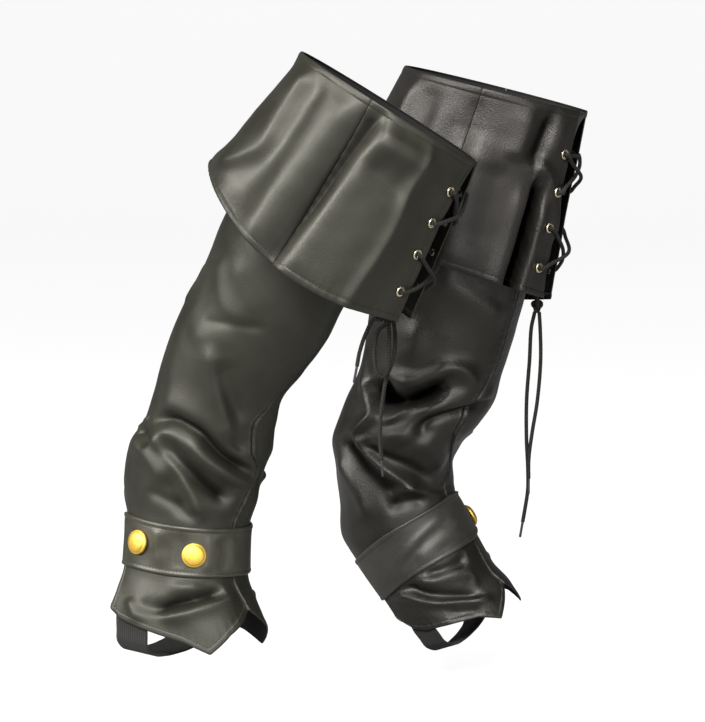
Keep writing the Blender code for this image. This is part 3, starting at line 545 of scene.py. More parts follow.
def smoothRoute(knots, spacing):
    # points on a smooth curve through a route's own points, which it keeps
    knots = [np.asarray(k, float) for k in knots]
    padded = [knots[0] * 2 - knots[1], *knots, knots[-1] * 2 - knots[-2]]
    route = []
    for before, start, end, after in zip(padded, padded[1:], padded[2:], padded[3:]):
        pull = [max(0.001, np.linalg.norm(b - a) ** 0.5)
                for a, b in ((before, start), (start, end), (end, after))]
        out = ((start - before) / pull[0] - (end - before) / (pull[0] + pull[1])
               + (end - start) / pull[1]) * pull[1]
        into = ((end - start) / pull[1] - (after - start) / (pull[1] + pull[2])
                + (after - end) / pull[2]) * pull[1]
        steps = max(1, round(np.linalg.norm(end - start) / spacing))
        for t in np.arange(steps) / steps:
            route.append(start * (1 + 2 * t) * (1 - t) ** 2 + out * t * (1 - t) ** 2
                         + end * t * t * (3 - 2 * t) + into * t * t * (t - 1))
    route.append(knots[-1])
    return np.array(route)


def lathe(name, profile, sides, point, normal):
    # a profile of (radius, height) turned round its normal
    ring = np.linspace(0, math.tau, sides, endpoint=False)
    turn = np.array(Vector(normal).to_track_quat("Z", "Y").to_matrix())
    points = []
    for radius, height in profile:
        points += [(radius * math.cos(t), radius * math.sin(t), height) for t in ring]
    count = len(profile)
    faces = ringFaces(count, sides, profile[0][0] > 0)
    points = np.array(points) @ turn.T + np.asarray(point)
    uvs = [(k / sides, r / count) for r in range(count) for k in range(sides)]
    return meshFrom(name, points, faces, uvs)


def nodeGroup(name, inputs, outputs):
    group = bpy.data.node_groups.new(name, "ShaderNodeTree")
    for label, kind, value in inputs:
        socket = group.interface.new_socket(name=label, in_out="INPUT", socket_type=kind)
        socket.default_value = value
    for label, kind in outputs:
        group.interface.new_socket(name=label, in_out="OUTPUT", socket_type=kind)
    return group, group.nodes.new("NodeGroupInput"), group.nodes.new("NodeGroupOutput")


def addNode(tree, kind, values=(), links=(), **settings):
    node = tree.nodes.new(kind)
    for key, value in settings.items():
        setattr(node, key, value)
    for key, value in values:
        node.inputs[key].default_value = value
    for key, socket in links:
        tree.links.new(socket, node.inputs[key])
    return node


def mathNode(tree, operation, *values):
    node = addNode(tree, "ShaderNodeMath", operation=operation)
    for i, value in enumerate(values):
        if isinstance(value, (int, float)):
            node.inputs[i].default_value = value
        else:
            tree.links.new(value, node.inputs[i])
    return node.outputs[0]


def makeGrainGroup():
    # pressed leather grain: small uneven pebbles with fine lines, and a slow mottle of sheen
    group, given, out = nodeGroup(
        "pressedGrain",
        (("Cells", "NodeSocketFloat", 70.0), ("Mottle", "NodeSocketFloat", 3.0)),
        (("Height", "NodeSocketFloat"), ("Sheen", "NodeSocketFloat"), ("Wear", "NodeSocketFloat")))
    where = addNode(group, "ShaderNodeTexCoord")
    wobble = addNode(group, "ShaderNodeTexNoise", [("Scale", 24.0), ("Detail", 2.0)],
                     [("Vector", where.outputs["UV"])])
    bent = addNode(group, "ShaderNodeVectorMath", operation="MULTIPLY_ADD")
    group.links.new(wobble.outputs["Color"], bent.inputs[0])
    bent.inputs[1].default_value = (0.012, 0.012, 0.0)
    group.links.new(where.outputs["UV"], bent.inputs[2])
    pebbles = addNode(group, "ShaderNodeTexVoronoi", [("Randomness", 0.9), ("Smoothness", 0.35)],
                      [("Vector", bent.outputs[0]), ("Scale", given.outputs["Cells"])],
                      feature="SMOOTH_F1")
    fineScale = mathNode(group, "MULTIPLY", given.outputs["Cells"], 2.7)
    fine = addNode(group, "ShaderNodeTexNoise", [("Detail", 4.0), ("Roughness", 0.6)],
                   [("Vector", where.outputs["UV"]), ("Scale", fineScale)])
    mottle = addNode(group, "ShaderNodeTexNoise", [("Detail", 3.0), ("Roughness", 0.55)],
                     [("Vector", where.outputs["UV"]), ("Scale", given.outputs["Mottle"])])
    height = mathNode(group, "ADD", mathNode(group, "MULTIPLY", pebbles.outputs["Distance"], -0.7),
                      mathNode(group, "MULTIPLY", fine.outputs["Fac"], 0.45))
    group.links.new(height, out.inputs["Height"])
    group.links.new(mottle.outputs["Fac"], out.inputs["Sheen"])
    group.links.new(fine.outputs["Fac"], out.inputs["Wear"])
    return group


def makeWeaveGroup():
    # crossing yarns: bumps in two slanting rows, for braid and woven tape
    group, given, out = nodeGroup(
        "crossingYarns",
        (("Around", "NodeSocketFloat", 4.0), ("Along", "NodeSocketFloat", 60.0),
         ("Slant", "NodeSocketFloat", 1.0)),
        (("Height", "NodeSocketFloat"),))
    where = addNode(group, "ShaderNodeTexCoord")
    parts = addNode(group, "ShaderNodeSeparateXYZ", links=[("Vector", where.outputs["UV"])])
    u = mathNode(group, "MULTIPLY", parts.outputs["X"], given.outputs["Around"])
    v = mathNode(group, "MULTIPLY", parts.outputs["Y"], given.outputs["Along"])
    slanted = mathNode(group, "MULTIPLY", v, given.outputs["Slant"])
    waves = []
    for sign in ("ADD", "SUBTRACT"):
        phase = mathNode(group, "MULTIPLY", mathNode(group, sign, u, slanted), math.tau)
        waves.append(mathNode(group, "SINE", phase))
    height = mathNode(group, "MAXIMUM", waves[0], waves[1])
    group.links.new(height, out.inputs["Height"])
    return group


def makeCreaseGroup():
    # painted shade: the floor of a deep fold is painted black and made rough, and the Mask, which the leather
    # puts into Metallic, takes away its sheen
    group, given, out = nodeGroup(
        "creaseShade",
        (("Colour", "NodeSocketColor", (0.01, 0.01, 0.01, 1.0)), ("Roughness", "NodeSocketFloat", 0.5)),
        (("Colour", "NodeSocketColor"), ("Roughness", "NodeSocketFloat"), ("Mask", "NodeSocketFloat")))
    creaseShadeMask = addNode(group, "ShaderNodeAttribute", attribute_name="creaseShadeMask").outputs["Fac"]
    shaded = addNode(group, "ShaderNodeMix", data_type="RGBA")
    group.links.new(creaseShadeMask, shaded.inputs["Factor"])
    group.links.new(given.outputs["Colour"], shaded.inputs["A"])
    shaded.inputs["B"].default_value = creaseShade["floor"]
    group.links.new(shaded.outputs["Result"], out.inputs["Colour"])
    group.links.new(mathNode(group, "MAXIMUM", given.outputs["Roughness"], creaseShadeMask),
                    out.inputs["Roughness"])
    group.links.new(creaseShadeMask, out.inputs["Mask"])
    return group


grainGroup = makeGrainGroup()
weaveGroup = makeWeaveGroup()
creaseGroup = makeCreaseGroup()

# one leather in lit and shaded copies: the far shaft and cuff are painted darker, and the far cuff's tint
# dims its reflection, as painted shade; both straps are painted lighter, as painted light. The far cover's
# grain is also coarser
leatherLooks = {
    "shaftLeather": {
        "dark": (0.0072, 0.0067, 0.0036), "light": (0.0135, 0.0130, 0.0088), "tint": (1.0, 0.98, 0.86),
        "rough": (0.45, 0.57), "grain": 0.17, "cells": 90.0, "mottle": 2.2,
    },
    "cuffLeather": {
        "dark": (0.0078, 0.0072, 0.0040), "light": (0.0145, 0.0139, 0.0095), "tint": (1.0, 0.98, 0.87),
        "rough": (0.42, 0.54), "grain": 0.17, "cells": 88.0, "mottle": 1.8,
    },
    "strapLeather": {
        "dark": (0.0200, 0.0190, 0.0125), "light": (0.0350, 0.0335, 0.0250), "tint": (1.0, 0.98, 0.87),
        "rough": (0.32, 0.44), "grain": 0.17, "cells": 90.0, "mottle": 3.0,
    },
    "farShaftLeather": {
        "dark": (0.0055, 0.0049, 0.0036), "light": (0.0115, 0.0105, 0.0083), "tint": (1.0, 0.97, 0.91),
        "rough": (0.34, 0.48), "grain": 0.42, "cells": 86.0, "mottle": 2.4,
    },
    "farCuffLeather": {
        "dark": (0.0055, 0.0048, 0.0038), "light": (0.0115, 0.0102, 0.0086), "tint": (0.88, 0.84, 0.80),
        "rough": (0.34, 0.48), "grain": 0.44, "cells": 84.0, "mottle": 2.0,
    },
    "farStrapLeather": {
        "dark": (0.0200, 0.0187, 0.0160), "light": (0.0360, 0.0340, 0.0295), "tint": (1.0, 0.97, 0.92),
        "rough": (0.32, 0.44), "grain": 0.38, "cells": 88.0, "mottle": 3.0,
    },
}


def mixColour(tree, factor, low, high):
    node = tree.nodes.new("ShaderNodeMix")
    node.data_type = "RGBA"
    node.inputs["A"].default_value = (*low, 1.0)
    node.inputs["B"].default_value = (*high, 1.0)
    tree.links.new(factor, node.inputs["Factor"])
    return node.outputs["Result"]


def ramp(tree, value, low, high, outLow, outHigh):
    node = tree.nodes.new("ShaderNodeMapRange")
    for key, number in (("From Min", low), ("From Max", high), ("To Min", outLow), ("To Max", outHigh)):
        node.inputs[key].default_value = number
    tree.links.new(value, node.inputs["Value"])
    return node.outputs["Result"]


def newMaterial(name):
    material = bpy.data.materials.new(name)
    material.use_nodes = True
    materials[name] = material
    return material.node_tree, material.node_tree.nodes["Principled BSDF"]


def leather(name):
    look = leatherLooks[name]
    tree, shader = newMaterial(name)
    grain = addNode(tree, "ShaderNodeGroup", node_tree=grainGroup)
    grain.inputs["Cells"].default_value = look["cells"]
    grain.inputs["Mottle"].default_value = look["mottle"]
    colour = mixColour(tree, ramp(tree, grain.outputs["Sheen"], 0.3, 0.7, 0, 1), look["dark"], look["light"])
    rough = ramp(tree, grain.outputs["Sheen"], 0.3, 0.7, *look["rough"])
    rough = mathNode(tree, "ADD", rough, ramp(tree, grain.outputs["Wear"], 0.3, 0.7, -0.08, 0.08))
    # painted shade: the crease group paints deep folds black and rough, and its mask goes to Metallic so that
    # they lose their reflection
    crease = addNode(tree, "ShaderNodeGroup", node_tree=creaseGroup)
    tree.links.new(colour, crease.inputs["Colour"])
    tree.links.new(rough, crease.inputs["Roughness"])
    for output, socket in (("Colour", "Base Color"), ("Roughness", "Roughness"), ("Mask", "Metallic")):
        tree.links.new(crease.outputs[output], shader.inputs[socket])
    bump = addNode(tree, "ShaderNodeBump", [("Strength", 0.6), ("Distance", look["grain"] * mm)],
                   [("Height", grain.outputs["Height"])])
    tree.links.new(bump.outputs["Normal"], shader.inputs["Normal"])
    shader.inputs["Specular Tint"].default_value = (*look["tint"], 1.0)


for name in leatherLooks:
    leather(name)


yarnLooks = {
    # around and along count the yarns on one unit of the map, and depth is in millimetres
    "laceBraid": {"dark": (0.0035, 0.0032, 0.0026), "light": (0.016, 0.015, 0.012),
                  "around": 2.0, "along": 38.0, "slant": 1.0, "depth": 0.35, "rough": 0.75, "fuzz": 0.03},
    "elasticWeave": {"dark": (0.006, 0.0058, 0.0052), "light": (0.020, 0.019, 0.017),
                     "around": 60.0, "along": 90.0, "slant": 0.0, "depth": 0.25, "rough": 0.8, "fuzz": 0.05},
    "sewingThread": {"dark": (0.003, 0.003, 0.0025), "light": (0.010, 0.0095, 0.0085),
                     "around": 2.0, "along": 200.0, "slant": 1.0, "depth": 0.05, "rough": 0.6, "fuzz": 0.0},
    "clothBacking": {"dark": (0.004, 0.0038, 0.0035), "light": (0.010, 0.0096, 0.009),
                     "around": 70.0, "along": 70.0, "slant": 0.0, "depth": 0.12, "rough": 0.92, "fuzz": 0.0},
}


def yarn(name):
    look = yarnLooks[name]
    tree, shader = newMaterial(name)
    weave = addNode(tree, "ShaderNodeGroup", node_tree=weaveGroup)
    for key in ("around", "along", "slant"):
        weave.inputs[key.title()].default_value = look[key]
    # painted shade: the yarns are painted dark in the grooves between them and light on their tops
    shade = ramp(tree, weave.outputs["Height"], -0.6, 1.0, 0, 1)
    tree.links.new(mixColour(tree, shade, look["dark"], look["light"]), shader.inputs["Base Color"])
    bump = addNode(tree, "ShaderNodeBump", [("Strength", 0.8), ("Distance", look["depth"] * mm)],
                   [("Height", weave.outputs["Height"])])
    tree.links.new(bump.outputs["Normal"], shader.inputs["Normal"])
    for key, value in (("Roughness", look["rough"]), ("Specular IOR Level", 0.25),
                       ("Sheen Weight", look["fuzz"]), ("Sheen Roughness", 0.5)):
        shader.inputs[key].default_value = value


for name in yarnLooks:
    yarn(name)

metalLooks = {
    "domedGold": {"low": (0.74, 0.47, 0.07), "high": (0.86, 0.59, 0.12), "rough": (0.44, 0.56),
                  "scratch": 900.0},
    "paleGold": {"low": (0.70, 0.60, 0.40), "high": (0.90, 0.80, 0.58), "rough": (0.22, 0.34),
                 "scratch": 1200.0},
}


def metal(name):
    look = metalLooks[name]
    tree, shader = newMaterial(name)
    where = addNode(tree, "ShaderNodeTexCoord")
    noise = addNode(tree, "ShaderNodeTexNoise", [("Scale", look["scratch"]), ("Detail", 3.0)],
                    [("Vector", where.outputs["Object"])])
    patches = ramp(tree, noise.outputs["Fac"], 0.35, 0.65, 0, 1)
    tree.links.new(mixColour(tree, patches, look["low"], look["high"]), shader.inputs["Base Color"])
    tree.links.new(ramp(tree, noise.outputs["Fac"], 0.3, 0.7, *look["rough"]), shader.inputs["Roughness"])
    bump = addNode(tree, "ShaderNodeBump", [("Strength", 0.35), ("Distance", 0.03 * mm)],
                   [("Height", noise.outputs["Fac"])])
    tree.links.new(bump.outputs["Normal"], shader.inputs["Normal"])
    shader.inputs["Metallic"].default_value = 1.0


for name in metalLooks:
    metal(name)

tipTree, tipShader = newMaterial("laceTip")
tipNoise = addNode(tipTree, "ShaderNodeTexNoise", [("Scale", 700.0)],
                   [("Vector", addNode(tipTree, "ShaderNodeTexCoord").outputs["Object"])])
tipTree.links.new(mixColour(tipTree, tipNoise.outputs["Fac"], (0.010, 0.010, 0.009), (0.022, 0.021, 0.019)),
                  tipShader.inputs["Base Color"])
tipShader.inputs["Roughness"].default_value = 0.42
print("materials ready")

view = {"target": (-0.0319, 0.100, -0.2345), "distance": 3.0, "elevation": 7.0, "lens": 165.3, "sensor": 36.0}
camera = bpy.data.objects.new("camera", bpy.data.cameras.new("camera"))
bpy.context.scene.collection.objects.link(camera)
rise = math.radians(view["elevation"])
camera.location = Vector(view["target"]) + view["distance"] * Vector((0, -math.cos(rise), math.sin(rise)))
camera.rotation_euler = (Vector(view["target"]) - camera.location).to_track_quat("-Z", "Y").to_euler()
camera.data.lens = view["lens"]
camera.data.sensor_width = view["sensor"]
bpy.context.scene.camera = camera

lacing = {"diameter": 3.6, "spacing": 1.3, "rows": (0.23, 0.43, 0.62, 0.84), "inset": 12.0, "reach": 5.0,
          "overEdge": 3.2, "lean": 0.18, "tuck": 6.5, "knotRadius": 5.2, "coil": 1.45, "tipDiameter": 2.4,
          "tipLength": 14.0, "bar": -4.5,
          # how high the cord stands over the cuff in each crossing, where below 0 passes under the flaps
          "rises": {"bottom": -4.0, "middle": -3.5, "topOver": 1.5, "bottomOver": 1.0}}


def eyeletSeat(cover, hand, share):
    inset = math.degrees(lacing["inset"] / cloth["cuffRadius"])
    around = float(hand * (cuffEdge(cover, share) + inset))
    return cuffPlace(cover, around, share), cuffNormal(cover, around, share)


def laceRoute(cover):
    # up one side from the knot, across the top and down the other side
    rows = lacing["rows"]
    knotPlace = np.array(cover["knot"], float)
    seats = {(hand, row): eyeletSeat(cover, hand, rows[row - 1]) for hand in (1, -1) for row in (1, 2, 3, 4)}

    def through(hand, row, outward):
        point, normal = seats[(hand, row)]
        way = 1 if outward else -1
        return [point + normal * step * way for step in (-lacing["reach"], 0.0, lacing["reach"])]

    def overEdge(hand, share, toward):
        share += (toward - share) * lacing["lean"]
        return cuffPlace(cover, float(hand * (cuffEdge(cover, share) - 1)), share, lacing["overEdge"])

    def arch(start, end, rise):
        high, low = rows[start[1] - 1], rows[end[1] - 1]
        return [overEdge(start[0], high, low), cuffPlace(cover, 0.0, (high + low) / 2, rise, False),
                overEdge(end[0], low, high)]

    def tucked(start, end):
        middle = (seats[start][0] + seats[end][0]) / 2
        return [middle - unit(seats[start][1] + seats[end][1]) * lacing["tuck"]]

    def toKnot(hand):
        point, normal = seats[(hand, 4)]
        side = np.array([0.0, -hand * cover["side"], 0.0])
        return [point * 0.55 + knotPlace * 0.45 - normal * 7.0,
                knotPlace + side * (lacing["knotRadius"] + 7) + (0, 0, 6),
                knotPlace + side * (lacing["knotRadius"] + 0.7) + (0, 0, 1)]

    bar = [cuffPlace(cover, around, rows[0], lacing["bar"], False) for around in (12.0, 0.0, -12.0)]
    rises = lacing["rises"]
    route = toKnot(1)[::-1] + through(1, 4, True)
    route += arch((1, 4), (-1, 3), rises["bottom"]) + through(-1, 3, False) + tucked((-1, 3), (-1, 2))
    route += through(-1, 2, True) + arch((-1, 2), (1, 1), rises["middle"]) + through(1, 1, False) + bar
    route += through(-1, 1, True) + arch((-1, 1), (1, 2), rises["topOver"]) + through(1, 2, False)
    route += tucked((1, 2), (1, 3)) + through(1, 3, True) + arch((1, 3), (-1, 4), rises["bottomOver"])
    route += through(-1, 4, False) + toKnot(-1)
    return route


def addCord(name, route, node, **shape):
    mesh = tube(name, route, lacing["diameter"] / 2, **shape)
    return addPiece(name, mesh, "laceBraid", [node])


def layLaces(cover):
    name = cover["name"]
    addCord(name + "HeldLace", smoothRoute(laceRoute(cover), lacing["spacing"]), name + "_lace")
    # the knot: one cord turned over itself and pulled tight
    t = np.linspace(0, math.tau, 72, endpoint=False)
    coil = np.stack([np.sin(t) + 2 * np.sin(2 * t), -1.25 * np.sin(3 * t),
                     1.15 * (np.cos(t) - 2 * np.cos(2 * t))], -1) * lacing["coil"]
    coil += np.array(cover["knot"], float) + (0, 0, 0.8)
    addCord(name + "Knot", coil, name + "_knot", closed=True)
    for label, places in cover["ends"].items():
        route = smoothRoute([np.array(cover["knot"], float) + place for place in places], lacing["spacing"])
        end = addCord(name + label.title() + "End", route, "%s_lace_%s_end" % (name, label))
        along = unit(route[-1] - route[-2])
        tipLine = np.array([route[-1] + along * step for step in np.linspace(
            cloth["seatGap"], cloth["seatGap"] + lacing["tipLength"], 9)])
        tip = addPiece(name + label.title() + "Tip",
                       tube(name + label.title() + "Tip", tipLine, lacing["tipDiameter"] / 2),
                       "laceTip", ["%s_lace_%s_tip" % (name, label)])
    if cover["loop"]:
        route = smoothRoute([np.array(cover["knot"], float) + place for place in cover["loop"]],
                            lacing["spacing"])
        addCord(name + "LaceLoop", route, name + "_lace_loop")


for cover in (rightCover, leftCover):
    layLaces(cover)
print("laces laid")

thread = {"pitch": 3.3, "length": 2.3, "width": 0.62, "sunk": 0.12, "sides": 6}


def stitchLine(name, lines):
    # a row of short thread loops along each line of places and normals
    sides = thread["sides"]
    half = thread["length"] / 2
    radius = thread["width"] / 2
    ring = np.linspace(0, math.tau, sides, endpoint=False)
    stations = [(-half, 0.35), (-half * 0.75, 0.85), (0.0, 1.0), (half * 0.75, 0.85), (half, 0.35)]
    points = []
    faces = []
    for places, normals in lines:
        run = np.concatenate(([0], np.cumsum(np.linalg.norm(np.diff(places, axis=0), axis=1))))
        for at in np.arange(thread["pitch"], run[-1] - thread["pitch"], thread["pitch"]):
            middle, before, after, up = (
                np.array([np.interp(at + shift, run, rows[:, axis]) for axis in range(3)])
                for shift, rows in ((0, places), (-half, places), (half, places), (0, normals)))
            way = unit(after - before)
            up = unit(up - way * (up @ way))
            across = np.cross(way, up)
            first = len(points)
            for step, size in stations:
                dip = -thread["sunk"] - 0.25 * (step / half) ** 2
                centre = middle + way * step + up * (dip + radius * 0.5)
                points += [centre + radius * size * (math.cos(t) * across + math.sin(t) * up * 0.8)
                           for t in ring]
            faces += ringFaces(len(stations), sides, first=first)
            faces.append(tuple(range(first + sides - 1, first - 1, -1)))
            last = first + (len(stations) - 1) * sides
            faces.append(tuple(range(last, last + sides)))
    uvs = np.array(points)[:, :2] / cloth["uvUnit"]
    addPiece(name, meshFrom(name, points, faces, uvs), "sewingThread")


def leatherOf(cover, part):
    # the near cover's leather is smoother than the far one's; its lighter, warmer colour beside the far one's
    # darker colour is painted light and shade on one leather
    return part + "Leather" if cover["side"] > 0 else "far" + part.title() + "Leather"


shaftFolds = {
    "right": (
        # the upper shaft sags over what lies below it
        (4.0, 5, 3.0, 0.2, ((132, 326), (105, 319), (90, 319), (72, 323), (60, 331), (46, 340), (30, 348),
                            (3, 360))),
        (-8.0, 5.5, 1.0, 0.4, ((130, 337), (105, 330), (90, 330), (72, 334), (60, 342), (46, 351),
                               (30, 358), (3, 369))),
        # folds that fan out of the tuck at the back
        (5.2, 8, 1.3, 0.3, ((126, 341), (102, 342), (81, 347), (60, 357), (45, 364), (24, 372), (0, 378))),
        (4.4, 4.5, 1.6, 0.5, ((126, 342), (111, 350), (96, 359), (81, 370), (69, 385), (60, 400), (48, 415))),
        (-8.0, 8, 1.3, 0.2, ((110, 350), (92, 357), (74, 368), (50, 384), (24, 396))),
        (-4.5, 9, 1.3, 0.0, ((96, 374), (84, 386), (74, 398), (62, 410))),
        (3.0, 7, 1.4, 0.2, ((146, 356), (123, 361), (108, 367), (96, 376), (84, 388))),
        (-6.0, 5, 1.3, 0.4, ((150, 350), (136, 348), (124, 352), (112, 357))),
        (4.0, 4, 1.3, 0.6, ((152, 352), (144, 344), (133, 335))),
        (-3.0, 5, 1.4, 0.2, ((108, 393), (94, 397), (80, 402), (68, 409), (54, 414))),
        (-3.0, 6, 1.2, 0.3, ((48, 328), (38, 336), (26, 342))),
        # the upper shaft
        (4.8, 7, 2.0, 0.4, ((45, 338), (48, 324), (57, 306), (69, 286), (80, 268), (88, 252))),
        (-3.0, 8, 1.3, 0.0, ((74, 262), (60, 282), (45, 302), (34, 316))),
        (-1.6, 5, 1.2, 0.3, ((108, 245), (97, 240), (84, 233), (68, 226), (52, 217))),
        (1.8, 9, 1.6, 0.0, ((118, 262), (100, 256), (84, 250), (64, 242))),
        (2.2, 8, 1.5, 0.0, ((126, 186), (113, 203), (101, 216), (86, 223), (66, 222))),
        (1.6, 9, 1.5, 0.0, ((108, 178), (94, 192), (80, 203), (60, 212))),
        (1.8, 4, 1.5, 0.4, ((146, 196), (150, 222), (152, 246))),
        (-1.6, 3.5, 1.4, 0.4, ((142, 206), (146, 232), (150, 262))),
        # the spat
        (5.0, 4.5, 1.6, 0.5, ((16, 479), (28, 483), (42, 487), (54, 491), (63, 495), (72, 499), (84, 506))),
        (-7.8, 3.8, 1.3, 0.4, ((90, 499), (81, 494), (69, 487), (54, 482), (42, 478), (27, 474))),
        (3.0, 8, 1.4, 0.1, ((80, 480), (62, 473), (42, 470))),
        (3.5, 5, 1.4, 0.3, ((108, 488), (100, 500), (93, 512))),
        (-2.5, 6, 1.3, 0.2, ((98, 486), (92, 496), (84, 504))),
        # the inner side
        (4.0, 6, 2.4, 0.2, ((-20, 352), (-60, 340), (-100, 332), (-140, 336))),
        (-6.0, 5, 1.0, 0.5, ((-150, 352), (-110, 346), (-64, 352), (-20, 366))),
        (5.5, 5, 1.4, 0.5, ((-140, 356), (-100, 360), (-60, 366), (-16, 378))),
        (4.6, 5, 1.6, 0.5, ((-138, 362), (-104, 374), (-72, 392), (-50, 408))),
        (-4.5, 6, 1.3, 0.3, ((-116, 362), (-86, 372), (-50, 386))),
        (-4.0, 6, 1.4, 0.4, ((-112, 396), (-84, 400), (-50, 412))),
        (3.2, 9, 1.6, 0.2, ((-52, 320), (-66, 290), (-84, 262))),
        (-3.4, 8, 1.2, 0.1, ((-96, 238), (-74, 228), (-50, 212))),
        (2.6, 8, 1.3, 0.1, ((-98, 222), (-76, 212), (-60, 200))),
        (4.0, 5, 1.4, 0.4, ((-98, 506), (-66, 492), (-24, 480))),
        (-4.0, 5, 1.3, 0.3, ((-96, 496), (-62, 484), (-24, 474))),
    ),
    "left": (
        # the long swag halfway down
        (7.0, 8, 1.3, 0.3, ((-104, 264), (-92, 273), (-81, 274), (-69, 267), (-60, 260), (-51, 259),
                            (-42, 264), (-33, 275), (-26, 292))),
        (-12.0, 8, 1.0, 0.2, ((-114, 270), (-103, 285), (-93, 293), (-82, 294), (-70, 288), (-60, 281),
                              (-50, 280))),
        (3.5, 8, 1.3, 0.1, ((-74, 309), (-64, 302), (-54, 293), (-42, 288), (-28, 290))),
        (3.2, 4.5, 1.6, 0.6, ((-112, 258), (-98, 277), (-86, 290), (-82, 302), (-86, 312), (-98, 320))),
        (-6.0, 8, 1.3, 0.1, ((-124, 274), (-110, 290), (-100, 304), (-96, 314))),
        # the upper shaft hangs over
        (5.5, 5, 2.5, 0.4, ((4, 292), (-12, 294), (-26, 296), (-42, 300), (-55, 303), (-66, 311),
                            (-68, 324), (-58, 338))),
        (-6.0, 6, 1.6, 0.4, ((0, 304), (-14, 305), (-30, 307), (-46, 311), (-57, 316), (-59, 326),
                             (-48, 340))),
        # a pinched fold that winds down to the strap, with hollows on both sides
        (5.0, 5.4, 1.4, 0.5, ((-152, 244), (-138, 268), (-122, 288), (-109, 306), (-110, 318), (-116, 330),
                              (-109, 342), (-96, 354), (-78, 366), (-66, 374), (-51, 386), (-33, 398),
                              (-8, 412))),
        (-6.0, 6, 1.3, 0.2, ((-108, 338), (-96, 346), (-84, 353), (-70, 359), (-55, 365), (-40, 374),
                             (-22, 386))),
        (-8.5, 10, 1.3, 0.1, ((-134, 330), (-120, 344), (-104, 360), (-88, 374), (-70, 390), (-54, 402))),
        (6.0, 9, 1.4, 0.1, ((-98, 334), (-84, 331), (-70, 332), (-58, 336), (-42, 346), (-24, 360),
                            (-10, 376))),
        (4.0, 7, 1.5, 0.2, ((-139, 358), (-126, 368), (-112, 380), (-102, 394), (-98, 412))),
        (4.0, 5, 1.4, 0.3, ((-80, 396), (-70, 392), (-58, 388), (-42, 384))),
        (-4.5, 6, 1.3, 0.2, ((-80, 402), (-66, 402), (-50, 402), (-34, 406))),
        # the upper shaft
        (3.4, 11, 1.4, 0.0, ((-84, 170), (-66, 182), (-48, 194), (-30, 202), (-12, 206))),
        (-3.0, 10, 1.3, 0.0, ((-70, 158), (-50, 172), (-32, 182), (-14, 186))),
        (3.5, 10, 1.4, 0.0, ((-96, 214), (-89, 236), (-87, 262))),
        # the spat
        (5.0, 4, 1.4, 0.5, ((-119, 486), (-99, 490), (-87, 498), (-69, 510), (-54, 518), (-39, 526),
                            (-21, 530))),
        (-5.5, 5, 1.3, 0.4, ((-100, 482), (-90, 486), (-78, 497), (-63, 506), (-42, 517), (-28, 522))),
        (4.0, 5, 1.3, 0.3, ((-86, 478), (-69, 489), (-51, 493), (-39, 497), (-27, 504), (-32, 516))),
        (-4.5, 5, 1.3, 0.3, ((-70, 478), (-56, 487), (-40, 490), (-20, 489))),
        (-3.0, 6, 1.2, 0.2, ((-74, 522), (-56, 530), (-40, 538))),
        # the outer side
        (4.0, 6, 2.4, 0.2, ((20, 300), (60, 290), (100, 284), (140, 290))),
        (-6.0, 5, 1.0, 0.5, ((150, 304), (110, 300), (64, 306), (20, 316))),
        (5.5, 5, 1.4, 0.5, ((140, 318), (100, 322), (60, 332), (16, 346))),
        (4.6, 5, 1.6, 0.5, ((136, 330), (104, 346), (72, 366), (44, 386))),
        (-4.5, 6, 1.3, 0.3, ((116, 330), (86, 342), (50, 358))),
        (-4.5, 6, 1.4, 0.4, ((120, 372), (86, 380), (44, 396))),
        (2.8, 9, 1.6, 0.2, ((52, 280), (66, 254), (86, 230))),
        (-3.4, 8, 1.2, 0.1, ((96, 214), (74, 206), (50, 194))),
        (3.6, 5, 1.4, 0.4, ((98, 520), (66, 512), (30, 502))),
        (-3.6, 5, 1.3, 0.3, ((98, 510), (66, 500), (28, 492))),
    ),
}
shaftSewing = {
    "hemFold": 6.7, "hemStitch": 5.9, "panelWidth": 190.0, "panelLength": 520.0, "skin": 1.1,
    "swell": 0.9, "calm": 14.0,  # how high the slow swells are, and how far they fade out at the back seam
    "seamRoll": 1.1, "seamWidth": 1.3, "ridge": 0.5, "ridgeAt": 3.4, "ridgeWidth": 1.7,
    "pucker": 0.42, "puckerReach": 8.0, "hemPucker": 0.14, "hemPitch": 11.0, "hemReach": 6.0,
    "underStrap": 0.35,  # what is left of a seam where the strap presses on it
}


def shaftHeight(cover, hand, around, down, share):
    # everything that lifts or sinks a shaft panel's surface
    flat = np.radians(around) * cloth["flatRadius"]
    pressed = strapFade(cover, around, down)
    front = share * shaftSewing["panelWidth"]
    back = (1 - share) * shaftSewing["panelWidth"]
    height = foldHeight(shaftFolds[cover["name"]], around, down)
    height += waviness(flat, down, cover["seeds"]["shaft"], shaftSewing["swell"])
    height *= pressed * smoothStep(back / shaftSewing["calm"])  # the two panels meet level at the back seam
    free = throughKnots(cover["ringTable"]["down"], cover["ringTable"]["wrap"], down) < 170
    left = shaftSewing["underStrap"]
    for gap, sewn, seed in ((front, np.ones_like(free), 5), (back, ~free, 7)):
        roll = (-shaftSewing["seamRoll"] * np.exp(-(gap / shaftSewing["seamWidth"]) ** 2)
                + shaftSewing["ridge"]
                * np.exp(-((gap - shaftSewing["ridgeAt"]) / shaftSewing["ridgeWidth"]) ** 2)
                + shaftSewing["pucker"] * puckers(down, seed + hand)
                * np.exp(-gap / shaftSewing["puckerReach"]))
        height += np.where(sewn, roll * (left + (1 - left) * pressed), 0.0)
    height += np.where(free, hemProfile(back, shaftSewing["hemFold"], shaftSewing["hemStitch"]), 0.0)
    hemGap = hemDown(cover, share) - down
    height += hemProfile(hemGap, shaftSewing["hemFold"], shaftSewing["hemStitch"])
    fromStitch = np.abs(hemGap - shaftSewing["hemReach"]) / shaftSewing["hemReach"]
    height += (shaftSewing["hemPucker"] * puckers(share * 200, 9 + hand, shaftSewing["hemPitch"])
               * np.exp(-fromStitch) * (hemGap < 40))
    return height


